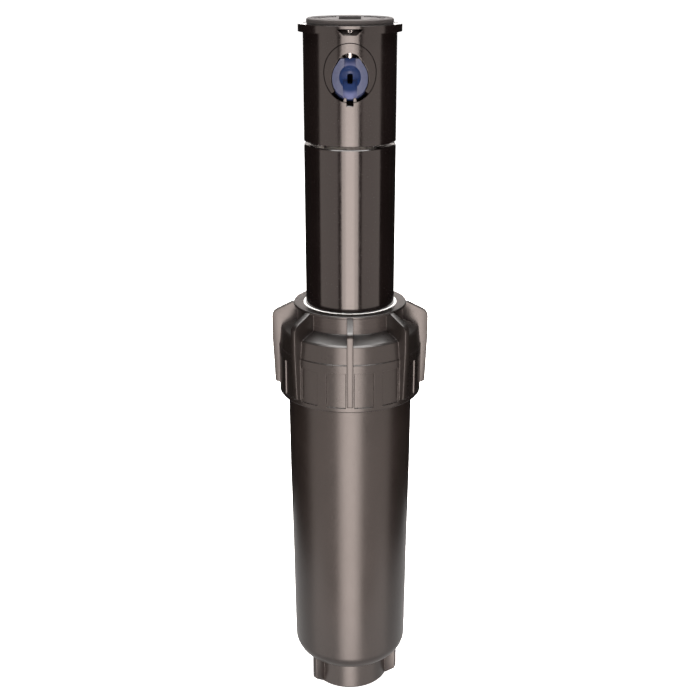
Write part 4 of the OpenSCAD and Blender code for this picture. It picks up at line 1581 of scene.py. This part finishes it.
@dataclass
class Studio:
    """A pale floor, soft lights with dark gaps between them, and the camera.

    Args:
        at: the middle of the object, in metres.
    """

    at: Point3 = (0.0, 0.0, 0.15)
    lens: float = 57.4
    camera_at: Point3 = (0.0, -0.4519, 0.3214)
    pitch: float = 19.64
    warm: Colour = (1.0, 0.85, 0.78)
    neutral: Colour = (1.0, 0.97, 0.95)
    card_h: float = 0.86
    card_z: float = -0.12
    floor_half: float = 9.0

    def build(self) -> None:
        """Builds the floor, the lights, the world and the camera."""
        self._floor()
        self._world()
        self._camera()
        warm, tall, level = self.warm, self.card_h, self.card_z
        self.card("front_core", 0, 0.62, 0.24, tall, level, 3.2, warm)
        self.card("front_wide", 0, 0.66, 0.50, tall, level, 8.6, warm)
        for side, azimuth in (("left", -55), ("right", 55)):
            self.card(f"side_card_{side}", azimuth, 0.70, 0.66, tall, level, 1.7, warm)
        self.card("rear_strip", 180, 0.62, 0.18, 0.5, 0.05, 4.0, warm)
        self.card("rear_glow", 180, 1.5, 1.6, 0.12, 0.375, 4.0, self.neutral)
        self._overhead()
        self._ground()

    def _floor(self) -> None:
        """Lays the pale floor."""
        half = self.floor_half
        spots = [(-half, -half, 0), (half, -half, 0), (half, half, 0), (-half, half, 0)]
        floor = new_object("floor", spots, [(0, 1, 2, 3)], 1.0)
        material = bpy.data.materials.new("pale_floor")
        material.use_nodes = True
        shader = material.node_tree.nodes["Principled BSDF"]
        shader.inputs["Base Color"].default_value = (0.9, 0.9, 0.9, 1)
        shader.inputs["Roughness"].default_value = 0.9
        shader.inputs["Emission Color"].default_value = (1, 1, 1, 1)
        shader.inputs["Emission Strength"].default_value = 1.0
        floor.data.materials.append(material)
        floor.visible_glossy = False
        floor.visible_shadow = False
        floor.visible_diffuse = False

    def _world(self) -> None:
        """Sets a world that is white to the camera and dim to the object."""
        world = bpy.data.worlds.new("studio")
        bpy.context.scene.world = world
        world.use_nodes = True
        tree = Tree(world.node_tree)
        world.node_tree.nodes.clear()
        path = tree.node("ShaderNodeLightPath")
        seen = tree.node("ShaderNodeBackground", {}, {"Color": (1, 1, 1, 1), "Strength": 1.0})
        felt = tree.node("ShaderNodeBackground", {}, {"Color": (1, 0.93, 0.88, 1), "Strength": 0.12})
        gloss = tree.node("ShaderNodeBackground", {}, {"Color": (1, 0.93, 0.88, 1), "Strength": 0.012})
        quiet = tree.node("ShaderNodeMixShader", {}, {
            0: path.out("Is Glossy Ray"), 1: felt.out(0), 2: gloss.out(0)})
        both = tree.node("ShaderNodeMixShader", {}, {
            0: path.out("Is Camera Ray"), 1: quiet.out(0), 2: seen.out(0)})
        tree.node("ShaderNodeOutputWorld", {}, {0: both.out(0)})

    def _light(self, name: str, place: Vector, width: float, height: float, radiance: float,
               colour: Colour) -> bpy.types.Object:
        """Adds an area light that looks at the object.

        Args:
            name: its name.
            place: where it stands.
            width: its width.
            height: its height.
            radiance: how bright its face is.
            colour: its colour.

        Returns:
            The light.
        """
        data = bpy.data.lights.new(name, "AREA")
        data.shape = "RECTANGLE"
        data.size, data.size_y = width, height
        data.energy = radiance * math.pi * width * height
        data.color = colour
        light = bpy.data.objects.new(name, data)
        bpy.context.scene.collection.objects.link(light)
        light.location = place
        light.rotation_euler = (Vector(self.at) - place).to_track_quat("-Z", "Y").to_euler()
        light.visible_camera = False
        return light

    def card(self, name: str, azimuth: float, away: float, width: float, height: float, level: float,
             radiance: float, colour: Colour) -> None:
        """Stands a bright card around the object.

        Args:
            name: its name.
            azimuth: its angle from the front, towards the right.
            away: its distance.
            width: its width.
            height: its height.
            level: the height of its middle.
            radiance: how bright its face is.
            colour: its colour.
        """
        turn = math.radians(azimuth - 90)
        place = Vector((away * math.cos(turn), away * math.sin(turn), level))
        light = self._light(name, place, width, height, radiance, colour)
        level_target = Vector((0, 0, level))
        light.rotation_euler = (level_target - place).to_track_quat("-Z", "Y").to_euler()

    def _overhead(self) -> None:
        """Hangs two big soft lights overhead."""
        self._light("overhead", Vector((0.0, -0.05, 1.05)), 0.8, 0.8, 14.0, self.neutral)
        self._light("overhead_back", Vector((0.0, 0.62, 0.98)), 0.8, 0.5, 6.0, self.neutral)

    def _ground(self) -> None:
        """Lays a soft light on the floor around the foot, which the lowest edges reflect."""
        light = self._light("ground", Vector((0.0, 0.03, -0.001)), 0.26, 0.22, 0.8, self.neutral)
        light.rotation_euler = (math.pi, 0, 0)

    def _camera(self) -> None:
        """Sets up the camera."""
        data = bpy.data.cameras.new("camera")
        data.lens, data.sensor_width = self.lens, 36.0
        data.clip_start = 0.01
        camera = bpy.data.objects.new("camera", data)
        bpy.context.scene.collection.objects.link(camera)
        camera.location = self.camera_at
        camera.rotation_euler = (math.radians(90 - self.pitch), 0, 0)
        bpy.context.scene.camera = camera
        bpy.context.scene.view_settings.view_transform = "Standard"


# ---------------------------------------------------------------- all together

def corners(box: Any) -> list[list[float]]:
    """A box's two corners as plain lists."""
    return [[float(c) for c in corner] for corner in box]


def main() -> None:
    """Builds the sub-assemblies and the studio."""
    logging.basicConfig(level=logging.INFO, format="%(name)s %(message)s")
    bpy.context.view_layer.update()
    Studio().build()
    shop = Workshop()
    for assembly in (Case(shop), Cap(shop), RetractSpring(shop), Turret(shop)):
        assembly.build()
    dress_nodes()


if __name__ == "__main__":
    main()
